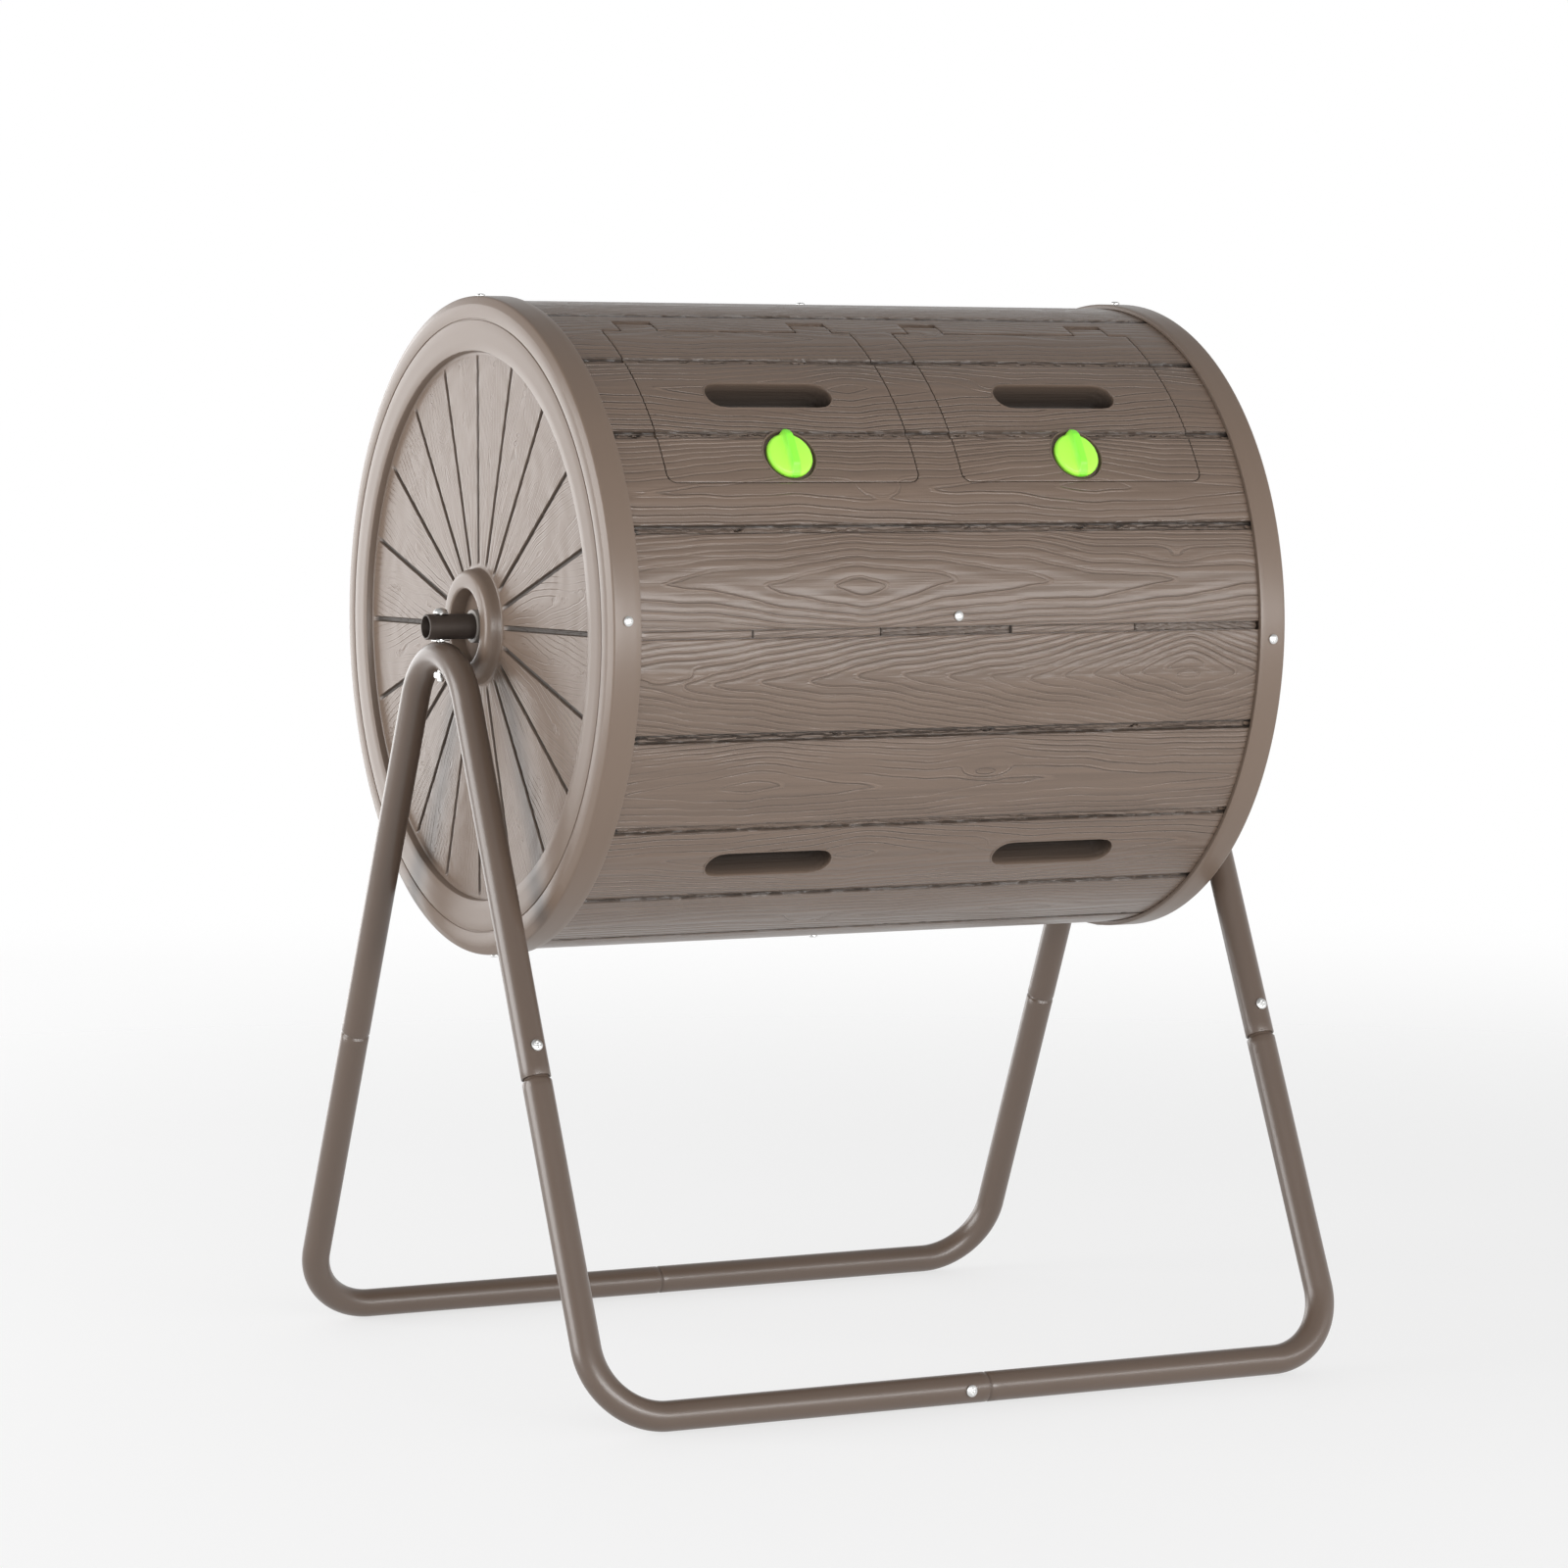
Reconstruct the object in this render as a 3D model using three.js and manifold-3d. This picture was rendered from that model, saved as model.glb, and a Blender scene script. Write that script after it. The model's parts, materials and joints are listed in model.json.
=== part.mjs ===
// Two-chamber compost tumbler: a wood-look drum that turns on a fixed axle in a bent-tube stand.
// Millimetres, +Z up, +X along the axle, -Y towards the doors. Origin on the ground, under the middle.
import * as THREE from 'three';
import { mergeVertices } from 'three/addons/utils/BufferGeometryUtils.js';
import Module from 'manifold-3d';

const wasm = await Module();
wasm.setup();

// ---------- driving dimensions ----------
const GAP = 0.3;                  // kept between pieces that touch

const AXIS_HEIGHT = 650.4;        // drum axis above the ground
const DRUM_RADIUS = 280;          // outside of the panels
const WALL = 3.5;                 // moulded wall, everywhere on the drum
const FACET = 9;                  // degrees between the drum's corners
const QUARTER = 90;               // degrees covered by one panel
const PANEL_END = 320.9;          // half length of a panel, its ends hidden under the bands
const STRIP_HALF = 0.78;          // half width, in degrees, of the strip between two panels
const TONGUE_END = 5;             // degrees that a panel's tongue reaches past the joint
const TONGUE_LENGTH = 296;        // half length of the tongue

const BAND_RADIUS = 284;          // rim band of an end cap
const BAND_START = 297.5;
const FACE_X = 325.2;             // outer face of an end cap
const FACE_RADIUS = 277.3;
const RING_RADIUS = 236.7;        // inside of the flat ring
const FIELD_X = 318.5;            // sunk field of radial planks
const HUB_X = 332;
const HUB_RADIUS = 50;
const HUB_RECESS = 32;

const AXLE_RADIUS = 11;
const AXLE_WALL = 1.5;
const AXLE_HALF = 368;
const BUSH_OUTER = 13;
const BUSH_COLLAR = 14.35;
const BUSH_INNER_END = 290;

const TUBE_RADIUS = 12.7;         // one inch steel tube
const TUBE_WALL = 1.5;
const TUBE_SIDES = 12;
const BORE_SIDES = 8;
const LEG_X = 354;                // plane of each pair of legs
const RAIL_Y = 319.4;             // centre of each ground rail
const LEG_LEAN = Math.tan(THREE.MathUtils.degToRad(24.6));
const FOOT_BEND = 62;             // centreline radius of the bend from leg to rail
const LEG_JOINT_Z = 279;          // joint between leg stub and crown tube
const RAIL_JOINT_X = 5;           // joint in the middle of each rail
const NECK_LENGTH = 40;           // swaged end inside the socket
const NECK_RADIUS = 10.9;
const SADDLE_THICKNESS = 0.9;

const DOOR_FROM = 26.6;           // bottom and top edges of a door, degrees up from the front
const DOOR_TO = 64.3;
const DOOR_NEAR = 21.5;           // edges of a door, measured from the middle of the drum
const DOOR_FAR = 256.5;
const DOOR_GAP = 1;
const LEDGE = 8;                  // ledge behind the edge of a door
const HINGE_ANGLE = 66.8;
const HINGE_RADIUS = 273;
const BARREL = 7;
const TAB_WIDTH = 34;
const TAB_CENTRES = [55, 221.5];  // hinge tabs, measured from the middle of the drum
const LUG_WIDTH = 9;
const PIN_RADIUS = 2;

const GRIP_X = 138.5;             // middle of each finger grip
const GRIP_ANGLE = 45;
const GRIP_LENGTH = 118;
const GRIP_WIDTH = 29;
const GRIP_DEPTH = 26;

const KNOB_X = 138.5;
const KNOB_ANGLE = 31.8;
const KNOB_RADIUS = 20.5;
const SEAT_RADIUS = 24;
const SEAT_FLOOR = 275.6;
const SPINDLE_RADIUS = 6;
const CAM_OUTER = 269.8;          // side of the latch cam that bears on the ledge
const NOTCH_HALF = 32;            // half width of the notch in the ledge, clear of the knob's seat
const CAM_REACH = 35;

const DIVIDER_RADIUS = 272.3;
const RIM_HALF = 10;

const SCREW_ANGLE = 2.5;          // drum screws, degrees from a panel joint
const BAND_SCREW_X = 310;
const PASSAGE = 0.4;              // clearance around a screw or bolt in its hole

const rad = THREE.MathUtils.degToRad;

// ---------- materials ----------
const look = (color, roughness, metalness) => () =>
  new THREE.MeshStandardMaterial({ color, roughness, metalness });
const woodLook = look(0x857667, 0.6, 0);
const capLook = look(0x9a8c80, 0.6, 0);
const tubeLook = look(0x87807a, 0.45, 0.6);
const axleLook = look(0x4a4542, 0.5, 0.6);
const zinc = look(0xd4d4d2, 0.3, 0.9);
const lime = look(0xb4f53c, 0.4, 0);
const bushLook = look(0x8f8983, 0.4, 0.2);
const innerLook = look(0x3c3936, 0.7, 0);

// ---------- solids ----------
function toSolid(geometry) {
  const bare = geometry.clone();
  bare.deleteAttribute('normal');
  bare.deleteAttribute('uv');
  const merged = mergeVertices(bare, 1e-4);
  const vertProperties = new Float32Array(merged.attributes.position.array);
  const triVerts = new Uint32Array(merged.index.array);
  return new wasm.Manifold(new wasm.Mesh({ numProp: 3, vertProperties, triVerts }));
}

function toGeometry(solid) {
  const mesh = solid.getMesh();
  const geometry = new THREE.BufferGeometry();
  geometry.setAttribute('position', new THREE.BufferAttribute(new Float32Array(mesh.vertProperties), 3));
  geometry.setIndex(new THREE.BufferAttribute(new Uint32Array(mesh.triVerts), 1));
  geometry.computeVertexNormals();
  return geometry;
}

const join = (base, others) => others.reduce((sum, other) => sum.add(toSolid(other)), base);
const cut = (base, others) => others.reduce((rest, other) => rest.subtract(toSolid(other)), base);

// Radius of the faceted drum at an angle: corners lie on the circle, every FACET degrees.
function facetRadius(radius, degrees) {
  const fromMiddle = ((degrees % FACET) + FACET) % FACET - FACET / 2;
  return radius * Math.cos(rad(FACET / 2)) / Math.cos(rad(fromMiddle));
}

function anglesBetween(from, to) {
  const angles = [from];
  for (let a = Math.floor(from / FACET) * FACET + FACET; a < to - 1e-6; a += FACET) {
    if (a > from + 1e-6) angles.push(a);
  }
  angles.push(to);
  return angles;
}

// Part of a faceted ring around the axle, from one angle to another and from x0 to x1.
// Angles run from the front (-Y) upward.
function ringSector(inner, outer, from, to, x0, x1) {
  const point = (radius, a) => {
    const r = facetRadius(radius, a);
    return new THREE.Vector2(-r * Math.cos(rad(a)), r * Math.sin(rad(a)));
  };
  const angles = anglesBetween(from, to);
  const outline = [
    ...angles.map((a) => point(outer, a)),
    ...[...angles].reverse().map((a) => point(inner, a)),
  ];
  const sector = new THREE.ExtrudeGeometry(new THREE.Shape(outline), {
    depth: x1 - x0,
    bevelEnabled: false,
  });
  const yzx = new THREE.Matrix4().makeBasis(
    new THREE.Vector3(0, 1, 0),
    new THREE.Vector3(0, 0, 1),
    new THREE.Vector3(1, 0, 0),
  );
  return sector.applyMatrix4(yzx).translate(x0, 0, 0);
}

// Solid of revolution around X from [x, radius] pairs, the outer skin running towards +X.
function turnedX(profile, sides) {
  const points = profile.map(([x, r]) => new THREE.Vector2(r, x));
  return new THREE.LatheGeometry(points, sides).rotateZ(-Math.PI / 2);
}

// Solid of revolution around Z from [radius, z] pairs, the outer skin running upwards.
function turnedZ(profile, sides) {
  const points = profile.map(([r, z]) => new THREE.Vector2(r, z));
  return new THREE.LatheGeometry(points, sides).rotateX(Math.PI / 2);
}

// Rod between two heights on Z.
const rodZ = (radius, z0, z1, sides = 10) => turnedZ([[0, z0], [radius, z0], [radius, z1], [0, z1]], sides);

// Places local Z along the drum's outward normal, local X along the axle and local Y up the skin.
function onDrum(x, degrees) {
  const a = rad(degrees);
  return new THREE.Matrix4().makeBasis(
    new THREE.Vector3(1, 0, 0),
    new THREE.Vector3(0, Math.sin(a), Math.cos(a)),
    new THREE.Vector3(0, -Math.cos(a), Math.sin(a)),
  ).setPosition(x, 0, 0);
}

function stadium(length, width, z0, z1) {
  const r = width / 2;
  const half = length / 2 - r;
  const shape = new THREE.Shape();
  shape.moveTo(-half, -r);
  shape.lineTo(half, -r);
  shape.absarc(half, 0, r, -Math.PI / 2, Math.PI / 2, false);
  shape.lineTo(-half, r);
  shape.absarc(-half, 0, r, Math.PI / 2, 1.5 * Math.PI, false);
  return new THREE.ExtrudeGeometry(shape, { depth: z1 - z0, bevelEnabled: false, curveSegments: 5 })
    .translate(0, 0, z0);
}

// Domed screw standing on z = 0, its shank pointing down.
function screw(headRadius, headHeight, shankRadius, length) {
  return turnedZ([
    [0, -length],
    [shankRadius, -length],
    [shankRadius, 0],
    [headRadius, 0],
    [headRadius * 0.8, headHeight * 0.65],
    [0, headHeight],
  ], 8);
}

// ---------- bent tubes ----------
// A centreline given by its stations, so that a sweep has steps only where the tube bends.
class StationCurve extends THREE.Curve {
  constructor(stations) {
    super();
    this.stations = stations;
  }

  at(u, key, target) {
    const last = this.stations.length - 1;
    return target.copy(this.stations[Math.round(u * last)][key]);
  }

  getPoint(u, target = new THREE.Vector3()) {
    return this.at(u, 'point', target);
  }

  getPointAt(u, target = new THREE.Vector3()) {
    return this.at(u, 'point', target);
  }

  getTangentAt(u, target = new THREE.Vector3()) {
    return this.at(u, 'tangent', target);
  }
}

const station = (point, tangent) => ({ point, tangent: tangent.clone().normalize() });

// Stations along an arc that leaves `start` along `tangent` and turns towards `side`.
function arcStations(start, tangent, side, radius, angle, steps) {
  const centre = start.clone().addScaledVector(side, radius);
  return Array.from({ length: steps + 1 }, (_, i) => {
    const a = (angle * i) / steps;
    const outward = side.clone().multiplyScalar(-Math.cos(a)).addScaledVector(tangent, Math.sin(a));
    const along = tangent.clone().multiplyScalar(Math.cos(a)).addScaledVector(side, Math.sin(a));
    return station(centre.clone().addScaledVector(outward, radius), along);
  });
}

// Regular polygon whose flats touch the circle, with a flat on each axis.
function tubePolygon(radius, sides) {
  const corner = radius / Math.cos(Math.PI / sides);
  return Array.from({ length: sides }, (_, i) => {
    const a = ((i + 0.5) * 2 * Math.PI) / sides;
    return new THREE.Vector2(corner * Math.cos(a), corner * Math.sin(a));
  });
}

function tubeSection(radius, wall) {
  const shape = new THREE.Shape(tubePolygon(radius, TUBE_SIDES));
  shape.holes.push(new THREE.Path(tubePolygon(radius - wall, BORE_SIDES)));
  return shape;
}

function bentTube(stations) {
  return new THREE.ExtrudeGeometry(tubeSection(TUBE_RADIUS, TUBE_WALL), {
    steps: stations.length - 1,
    extrudePath: new StationCurve(stations),
    bevelEnabled: false,
  });
}

// Swaged end on +Z: a thin sleeve that starts inside the tube wall and narrows past its end.
function swagedNeck() {
  const root = 3;
  const taper = 2.6;
  const bore = NECK_RADIUS - TUBE_WALL;
  return turnedZ([
    [11.7, -root],
    [12.4, -root],
    [12.4, 0.5],
    [NECK_RADIUS, taper],
    [NECK_RADIUS, NECK_LENGTH],
    [bore, NECK_LENGTH],
    [bore, taper],
    [11.7, -0.5],
    [11.7, -root],
  ], TUBE_SIDES);
}

// Turns local Z to `direction` and moves it to `point`.
function aimed(geometry, point, direction) {
  const turn = new THREE.Quaternion().setFromUnitVectors(new THREE.Vector3(0, 0, 1), direction);
  return geometry.applyQuaternion(turn).translate(point.x, point.y, point.z);
}

// ---------- stand ----------
const legY = (z) => RAIL_Y - LEG_LEAN * (z - TUBE_RADIUS);
const crownTop = AXIS_HEIGHT - AXLE_RADIUS - SADDLE_THICKNESS - 2 * GAP - TUBE_RADIUS;
const leanLength = Math.hypot(1, LEG_LEAN);
const crownBend = (RAIL_Y + LEG_LEAN * TUBE_RADIUS - LEG_LEAN * crownTop) / (leanLength - LEG_LEAN);
const legUp = (side) => new THREE.Vector3(0, -side * LEG_LEAN, 1).normalize();
const legOut = (side) => new THREE.Vector3(0, side, LEG_LEAN).normalize();
const legScrewUp = 27;
const legScrewLength = 9;

function crownTube(x) {
  const overlap = 2;
  const end = new THREE.Vector3(x, legY(LEG_JOINT_Z + overlap), LEG_JOINT_Z + overlap);
  const up = legUp(1);
  const inward = legOut(1).negate();
  const centre = new THREE.Vector3(x, 0, crownTop - crownBend);
  const bendStart = centre.clone().addScaledVector(inward, -crownBend);
  const turn = Math.PI - 2 * Math.atan(LEG_LEAN);
  const arc = arcStations(bendStart, up, inward, crownBend, turn, 8);
  const far = end.clone().setY(-end.y);
  const tube = bentTube([station(end, up), ...arc, station(far, legUp(-1).negate())]);
  const bolt = rodZ(3 + PASSAGE, crownTop - 20, crownTop + 20, 8).translate(x, 0, 0);
  const holes = [-1, 1].map((side) => {
    const seat = legScrewPoint(x, side);
    return aimed(rodZ(2.5 + PASSAGE, -legScrewLength - 2, 3, 6), seat, legOut(side));
  });
  return cut(toSolid(tube), [bolt, ...holes]);
}

function legScrewPoint(x, side) {
  const centre = new THREE.Vector3(x, side * legY(LEG_JOINT_Z), LEG_JOINT_Z);
  return centre.addScaledVector(legUp(side), legScrewUp).addScaledVector(legOut(side), TUBE_RADIUS);
}

const railScrewX = RAIL_JOINT_X - 20;
const railScrewPoint = (side) => new THREE.Vector3(railScrewX, side * (RAIL_Y + TUBE_RADIUS), TUBE_RADIUS);
const railScrewLength = 9;

// Half a ground rail with its leg stub. endX is where the rail half stops.
function lowerTube(endSide, side) {
  const male = endSide > 0;
  const railEnd = RAIL_JOINT_X + (male ? 1.5 : -1.5);
  const towardEnd = new THREE.Vector3(endSide, 0, 0);
  const up = legUp(side);
  const corner = new THREE.Vector3(endSide * LEG_X, side * RAIL_Y, TUBE_RADIUS);
  const bendStart = corner.clone().addScaledVector(towardEnd, -FOOT_BEND);
  const arc = arcStations(bendStart, towardEnd, up, FOOT_BEND, Math.PI / 2, 5);
  const start = new THREE.Vector3(railEnd, side * RAIL_Y, TUBE_RADIUS);
  const topZ = LEG_JOINT_Z - 1.5;
  const top = new THREE.Vector3(endSide * LEG_X, side * legY(topZ), topZ);
  const tube = toSolid(bentTube([station(start, towardEnd), ...arc, station(top, up)]));
  const necks = [aimed(swagedNeck(), top, up)];
  if (male) necks.push(aimed(swagedNeck(), start, new THREE.Vector3(-1, 0, 0)));
  const legHole = aimed(
    rodZ(2.5 + PASSAGE, -legScrewLength - 2, 3, 6), legScrewPoint(endSide * LEG_X, side), legOut(side));
  const railHole = aimed(
    rodZ(2.5 + PASSAGE, -railScrewLength - 2, 3, 6), railScrewPoint(side), new THREE.Vector3(0, side, 0));
  return cut(join(tube, necks), [legHole, railHole]);
}

function axleTube() {
  const tube = new THREE.ExtrudeGeometry(tubeSection(AXLE_RADIUS, AXLE_WALL), {
    depth: 2 * AXLE_HALF,
    bevelEnabled: false,
  }).rotateY(Math.PI / 2).translate(-AXLE_HALF, 0, AXIS_HEIGHT);
  const holes = [-1, 1].map((end) =>
    rodZ(3 + PASSAGE, AXIS_HEIGHT - 20, AXIS_HEIGHT + 20, 8).translate(end * LEG_X, 0, 0));
  return cut(toSolid(tube), holes);
}

const nutTop = crownTop - TUBE_RADIUS - 3 * GAP;  // clear of the bend's hollow side
const nutHeight = 5.5;

function axleBolt() {
  const head = 5;
  const top = AXIS_HEIGHT + AXLE_RADIUS + GAP;
  return turnedZ([
    [0, nutTop - nutHeight - 3],
    [3, nutTop - nutHeight - 3],
    [3, top],
    [6.5, top],
    [6.2, top + head * 0.5],
    [4, top + head * 0.88],
    [0, top + head],
  ], 10);
}

function ringZ(inner, outer, z0, z1, sides) {
  return turnedZ([[inner, z0], [outer, z0], [outer, z1], [inner, z1], [inner, z0]], sides);
}

// ---------- drum, built around the axis ----------
function endCap(end) {
  const inFace = FACE_X - WALL;
  const skirtOuter = DRUM_RADIUS - WALL - GAP;
  const profile = [
    [BUSH_INNER_END, BUSH_OUTER + GAP],
    [BUSH_INNER_END, BUSH_OUTER + 4],
    [FIELD_X - WALL - 0.5, BUSH_OUTER + 4],
    [FIELD_X - WALL - 0.5, HUB_RECESS + WALL],
    [HUB_X - WALL, HUB_RECESS + WALL],
    [HUB_X - WALL, HUB_RADIUS - 2 * WALL],
    [FIELD_X - WALL, HUB_RADIUS - WALL],
    [FIELD_X - WALL, RING_RADIUS + WALL - 1.5],
    [inFace, RING_RADIUS + WALL],
    [inFace, skirtOuter - WALL],
    [BAND_START + 2.5, skirtOuter - WALL],
    [BAND_START + 2.5, skirtOuter],
    [inFace, skirtOuter],
    [inFace, DRUM_RADIUS + GAP],
    [BAND_START, DRUM_RADIUS + GAP],
    [BAND_START, BAND_RADIUS],
    [FACE_X - 3.2, BAND_RADIUS],
    [FACE_X, FACE_RADIUS],
    [FACE_X, RING_RADIUS],
    [FIELD_X, RING_RADIUS - 1],
    [FIELD_X, HUB_RADIUS],
    [HUB_X, HUB_RADIUS - WALL],
    [HUB_X, HUB_RECESS],
    [FIELD_X - 0.5, HUB_RECESS],
    [FIELD_X - 0.5, BUSH_OUTER + GAP],
    [BUSH_INNER_END, BUSH_OUTER + GAP],
  ];
  const cap = toSolid(turnedX(profile, 360 / FACET));
  const turned = end > 0 ? cap : cap.rotate([0, 0, 180]);
  return cut(turned, bandScrewPlaces(end).map(({ x, angle }) => drumHole(x, angle)));
}

// A hole through every skin of the drum, for one screw.
const drumHole = (x, angle) => rodZ(2.1 + PASSAGE, 260, 290, 6).applyMatrix4(onDrum(x, angle));

function bandScrewPlaces(end) {
  return [0, 1, 2, 3].map((quarter) => ({
    x: end * BAND_SCREW_X,
    angle: quarter * QUARTER - end * SCREW_ANGLE,
  }));
}

const midScrewPlaces = [0, 1, 2, 3].map((quarter) => ({ x: 0, angle: quarter * QUARTER + SCREW_ANGLE }));

function axleBush() {
  const inner = AXLE_RADIUS / Math.cos(Math.PI / TUBE_SIDES) + GAP;
  return turnedX([
    [BUSH_INNER_END - 1, inner],
    [BUSH_INNER_END - 1, BUSH_OUTER],
    [FIELD_X - 0.5 + GAP, BUSH_OUTER],
    [FIELD_X - 0.5 + GAP, BUSH_COLLAR],
    [FACE_X, BUSH_COLLAR],
    [FACE_X, inner],
    [BUSH_INNER_END - 1, inner],
  ], 16);
}

// Skin of one quarter, with the tongue that reaches under the next quarter.
function quarterSkin(from) {
  const to = from + QUARTER;
  const tongueOuter = DRUM_RADIUS - WALL - GAP;
  const skin = toSolid(
    ringSector(DRUM_RADIUS - WALL, DRUM_RADIUS, from + STRIP_HALF, to - STRIP_HALF, -PANEL_END, PANEL_END));
  const tongue = ringSector(
    tongueOuter - WALL, tongueOuter, to - 4, to + TONGUE_END, -TONGUE_LENGTH, TONGUE_LENGTH);
  const web = ringSector(
    tongueOuter - 1, DRUM_RADIUS - 1, to - 4, to - 1.6, -TONGUE_LENGTH, TONGUE_LENGTH);
  return join(skin, [tongue, web]);
}

function drumHoles() {
  const places = [...bandScrewPlaces(-1), ...bandScrewPlaces(1), ...midScrewPlaces];
  return places.map(({ x, angle }) => drumHole(x, angle));
}

// A cup sunk into the skin for the fingers.
function withGrips(skin, angle, centres) {
  const floor = DRUM_RADIUS - GRIP_DEPTH;
  const cups = centres.map((x) =>
    stadium(GRIP_LENGTH + 2 * WALL, GRIP_WIDTH + 2 * WALL, floor - WALL, DRUM_RADIUS - 2)
      .applyMatrix4(onDrum(x, angle)));
  const hollows = centres.map((x) =>
    stadium(GRIP_LENGTH, GRIP_WIDTH, floor, DRUM_RADIUS + 10).applyMatrix4(onDrum(x, angle)));
  return cut(join(skin, cups), hollows);
}

const plainPanel = (from) => cut(
  withGrips(quarterSkin(from), from + QUARTER / 2, [-GRIP_X, GRIP_X]), drumHoles());

// x range measured from the middle of the drum, on the left (-1) or right (+1) side.
const mirrored = (side, near, far) => (side > 0 ? [near, far] : [-far, -near]);

function pinHole(side) {
  const [x0, x1] = mirrored(side, DOOR_NEAR - 15, DOOR_FAR + 15);
  return turnedX([[x0, 0], [x0, PIN_RADIUS + GAP], [x1, PIN_RADIUS + GAP], [x1, 0]], 8)
    .applyMatrix4(hingePlace());
}

function hingePlace() {
  const a = rad(HINGE_ANGLE);
  return new THREE.Matrix4().makeTranslation(0, -HINGE_RADIUS * Math.cos(a), HINGE_RADIUS * Math.sin(a));
}

function doorPanel() {
  const ledgeOuter = DRUM_RADIUS - WALL - GAP;
  const ledgeInner = ledgeOuter - 3;
  const edge = THREE.MathUtils.radToDeg(LEDGE / DRUM_RADIUS);
  const top = HINGE_ANGLE - 2;
  let panel = quarterSkin(0);
  for (const side of [-1, 1]) {
    const frame = mirrored(side, DOOR_NEAR - DOOR_GAP - LEDGE + 1, DOOR_FAR + DOOR_GAP + LEDGE);
    const rebate = mirrored(side, DOOR_NEAR - DOOR_GAP, DOOR_FAR + DOOR_GAP);
    const mouth = mirrored(side, DOOR_NEAR + LEDGE, DOOR_FAR - LEDGE);
    const bottom = DOOR_FROM - 0.2;
    const ledge = ringSector(
      ledgeInner, ledgeOuter + 1.5, bottom - edge, top + edge, ...frame);
    const slots = TAB_CENTRES.map((centre) => {
      const half = TAB_WIDTH / 2 + DOOR_GAP;
      return ringSector(255, 290, DOOR_TO - 3, HINGE_ANGLE + 1.75, ...mirrored(side, centre - half, centre + half));
    });
    const lugs = TAB_CENTRES.flatMap((centre) => {
      const half = TAB_WIDTH / 2 + DOOR_GAP;
      return [
        ringSector(266, ledgeOuter + 1.5, HINGE_ANGLE - 1.8, HINGE_ANGLE + 1.8,
          ...mirrored(side, centre + half, centre + half + LUG_WIDTH)),
        ringSector(266, ledgeOuter + 1.5, HINGE_ANGLE - 1.8, HINGE_ANGLE + 1.8,
          ...mirrored(side, centre - half - LUG_WIDTH, centre - half)),
      ];
    });
    panel = join(panel, [ledge, ...lugs]);
    panel = cut(panel, [
      ringSector(ledgeOuter, 290, bottom, top, ...rebate),
      ringSector(260, 290, bottom + edge, DOOR_TO - 2, ...mouth),
      ringSector(260, 290, bottom, KNOB_ANGLE, ...mirrored(side, KNOB_X - NOTCH_HALF, KNOB_X + NOTCH_HALF)),
      ...slots,
      pinHole(side),
    ]);
  }
  return cut(panel, drumHoles());
}

function divider() {
  const half = 1.5;
  const profile = [
    [-half, 12.5],
    [-half, DIVIDER_RADIUS - 3],
    [-RIM_HALF, DIVIDER_RADIUS - 3],
    [-RIM_HALF, DIVIDER_RADIUS],
    [RIM_HALF, DIVIDER_RADIUS],
    [RIM_HALF, DIVIDER_RADIUS - 3],
    [half, DIVIDER_RADIUS - 3],
    [half, 12.5],
    [-half, 12.5],
  ];
  return cut(toSolid(turnedX(profile, 360 / FACET)), midScrewPlaces.map(({ x, angle }) => drumHole(x, angle)));
}

// ---------- doors ----------
function door(side) {
  const skin = toSolid(
    ringSector(DRUM_RADIUS - WALL, DRUM_RADIUS, DOOR_FROM, DOOR_TO, ...mirrored(side, DOOR_NEAR, DOOR_FAR)));
  const tabs = TAB_CENTRES.flatMap((centre) => {
    const [x0, x1] = mirrored(side, centre - TAB_WIDTH / 2, centre + TAB_WIDTH / 2);
    const barrel = turnedX([[x0, 0], [x0, BARREL], [x1, BARREL], [x1, 0]], 16)
      .applyMatrix4(hingePlace());
    const plate = ringSector(DRUM_RADIUS - WALL, DRUM_RADIUS, DOOR_TO - 2, HINGE_ANGLE, x0, x1);
    return [plate, barrel];
  });
  const gripped = withGrips(skin, GRIP_ANGLE, [side * GRIP_X]);
  const place = onDrum(side * KNOB_X, KNOB_ANGLE);
  const plate = rodZ(SEAT_RADIUS + WALL, SEAT_FLOOR - WALL, DRUM_RADIUS - 2.5, 24).applyMatrix4(place);
  const inside = ringSector(
    SEAT_FLOOR - 10, DRUM_RADIUS, DOOR_FROM, DOOR_TO, ...mirrored(side, DOOR_NEAR, DOOR_FAR));
  const seated = gripped.add(toSolid(plate).intersect(toSolid(inside)));
  const recess = rodZ(SEAT_RADIUS, SEAT_FLOOR, 290, 24).applyMatrix4(place);
  const spindle = rodZ(SPINDLE_RADIUS + GAP + 0.1, 260, 290, 12).applyMatrix4(place);
  return cut(join(seated, tabs), [recess, spindle, pinHole(side)]);
}

function hingePin(side, centre) {
  const half = TAB_WIDTH / 2 + DOOR_GAP + LUG_WIDTH - 0.5;
  const [x0, x1] = mirrored(side, centre - half, centre + half);
  return turnedX([[x0, 0], [x0, PIN_RADIUS], [x1, PIN_RADIUS], [x1, 0]], 8)
    .applyMatrix4(hingePlace());
}

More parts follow.
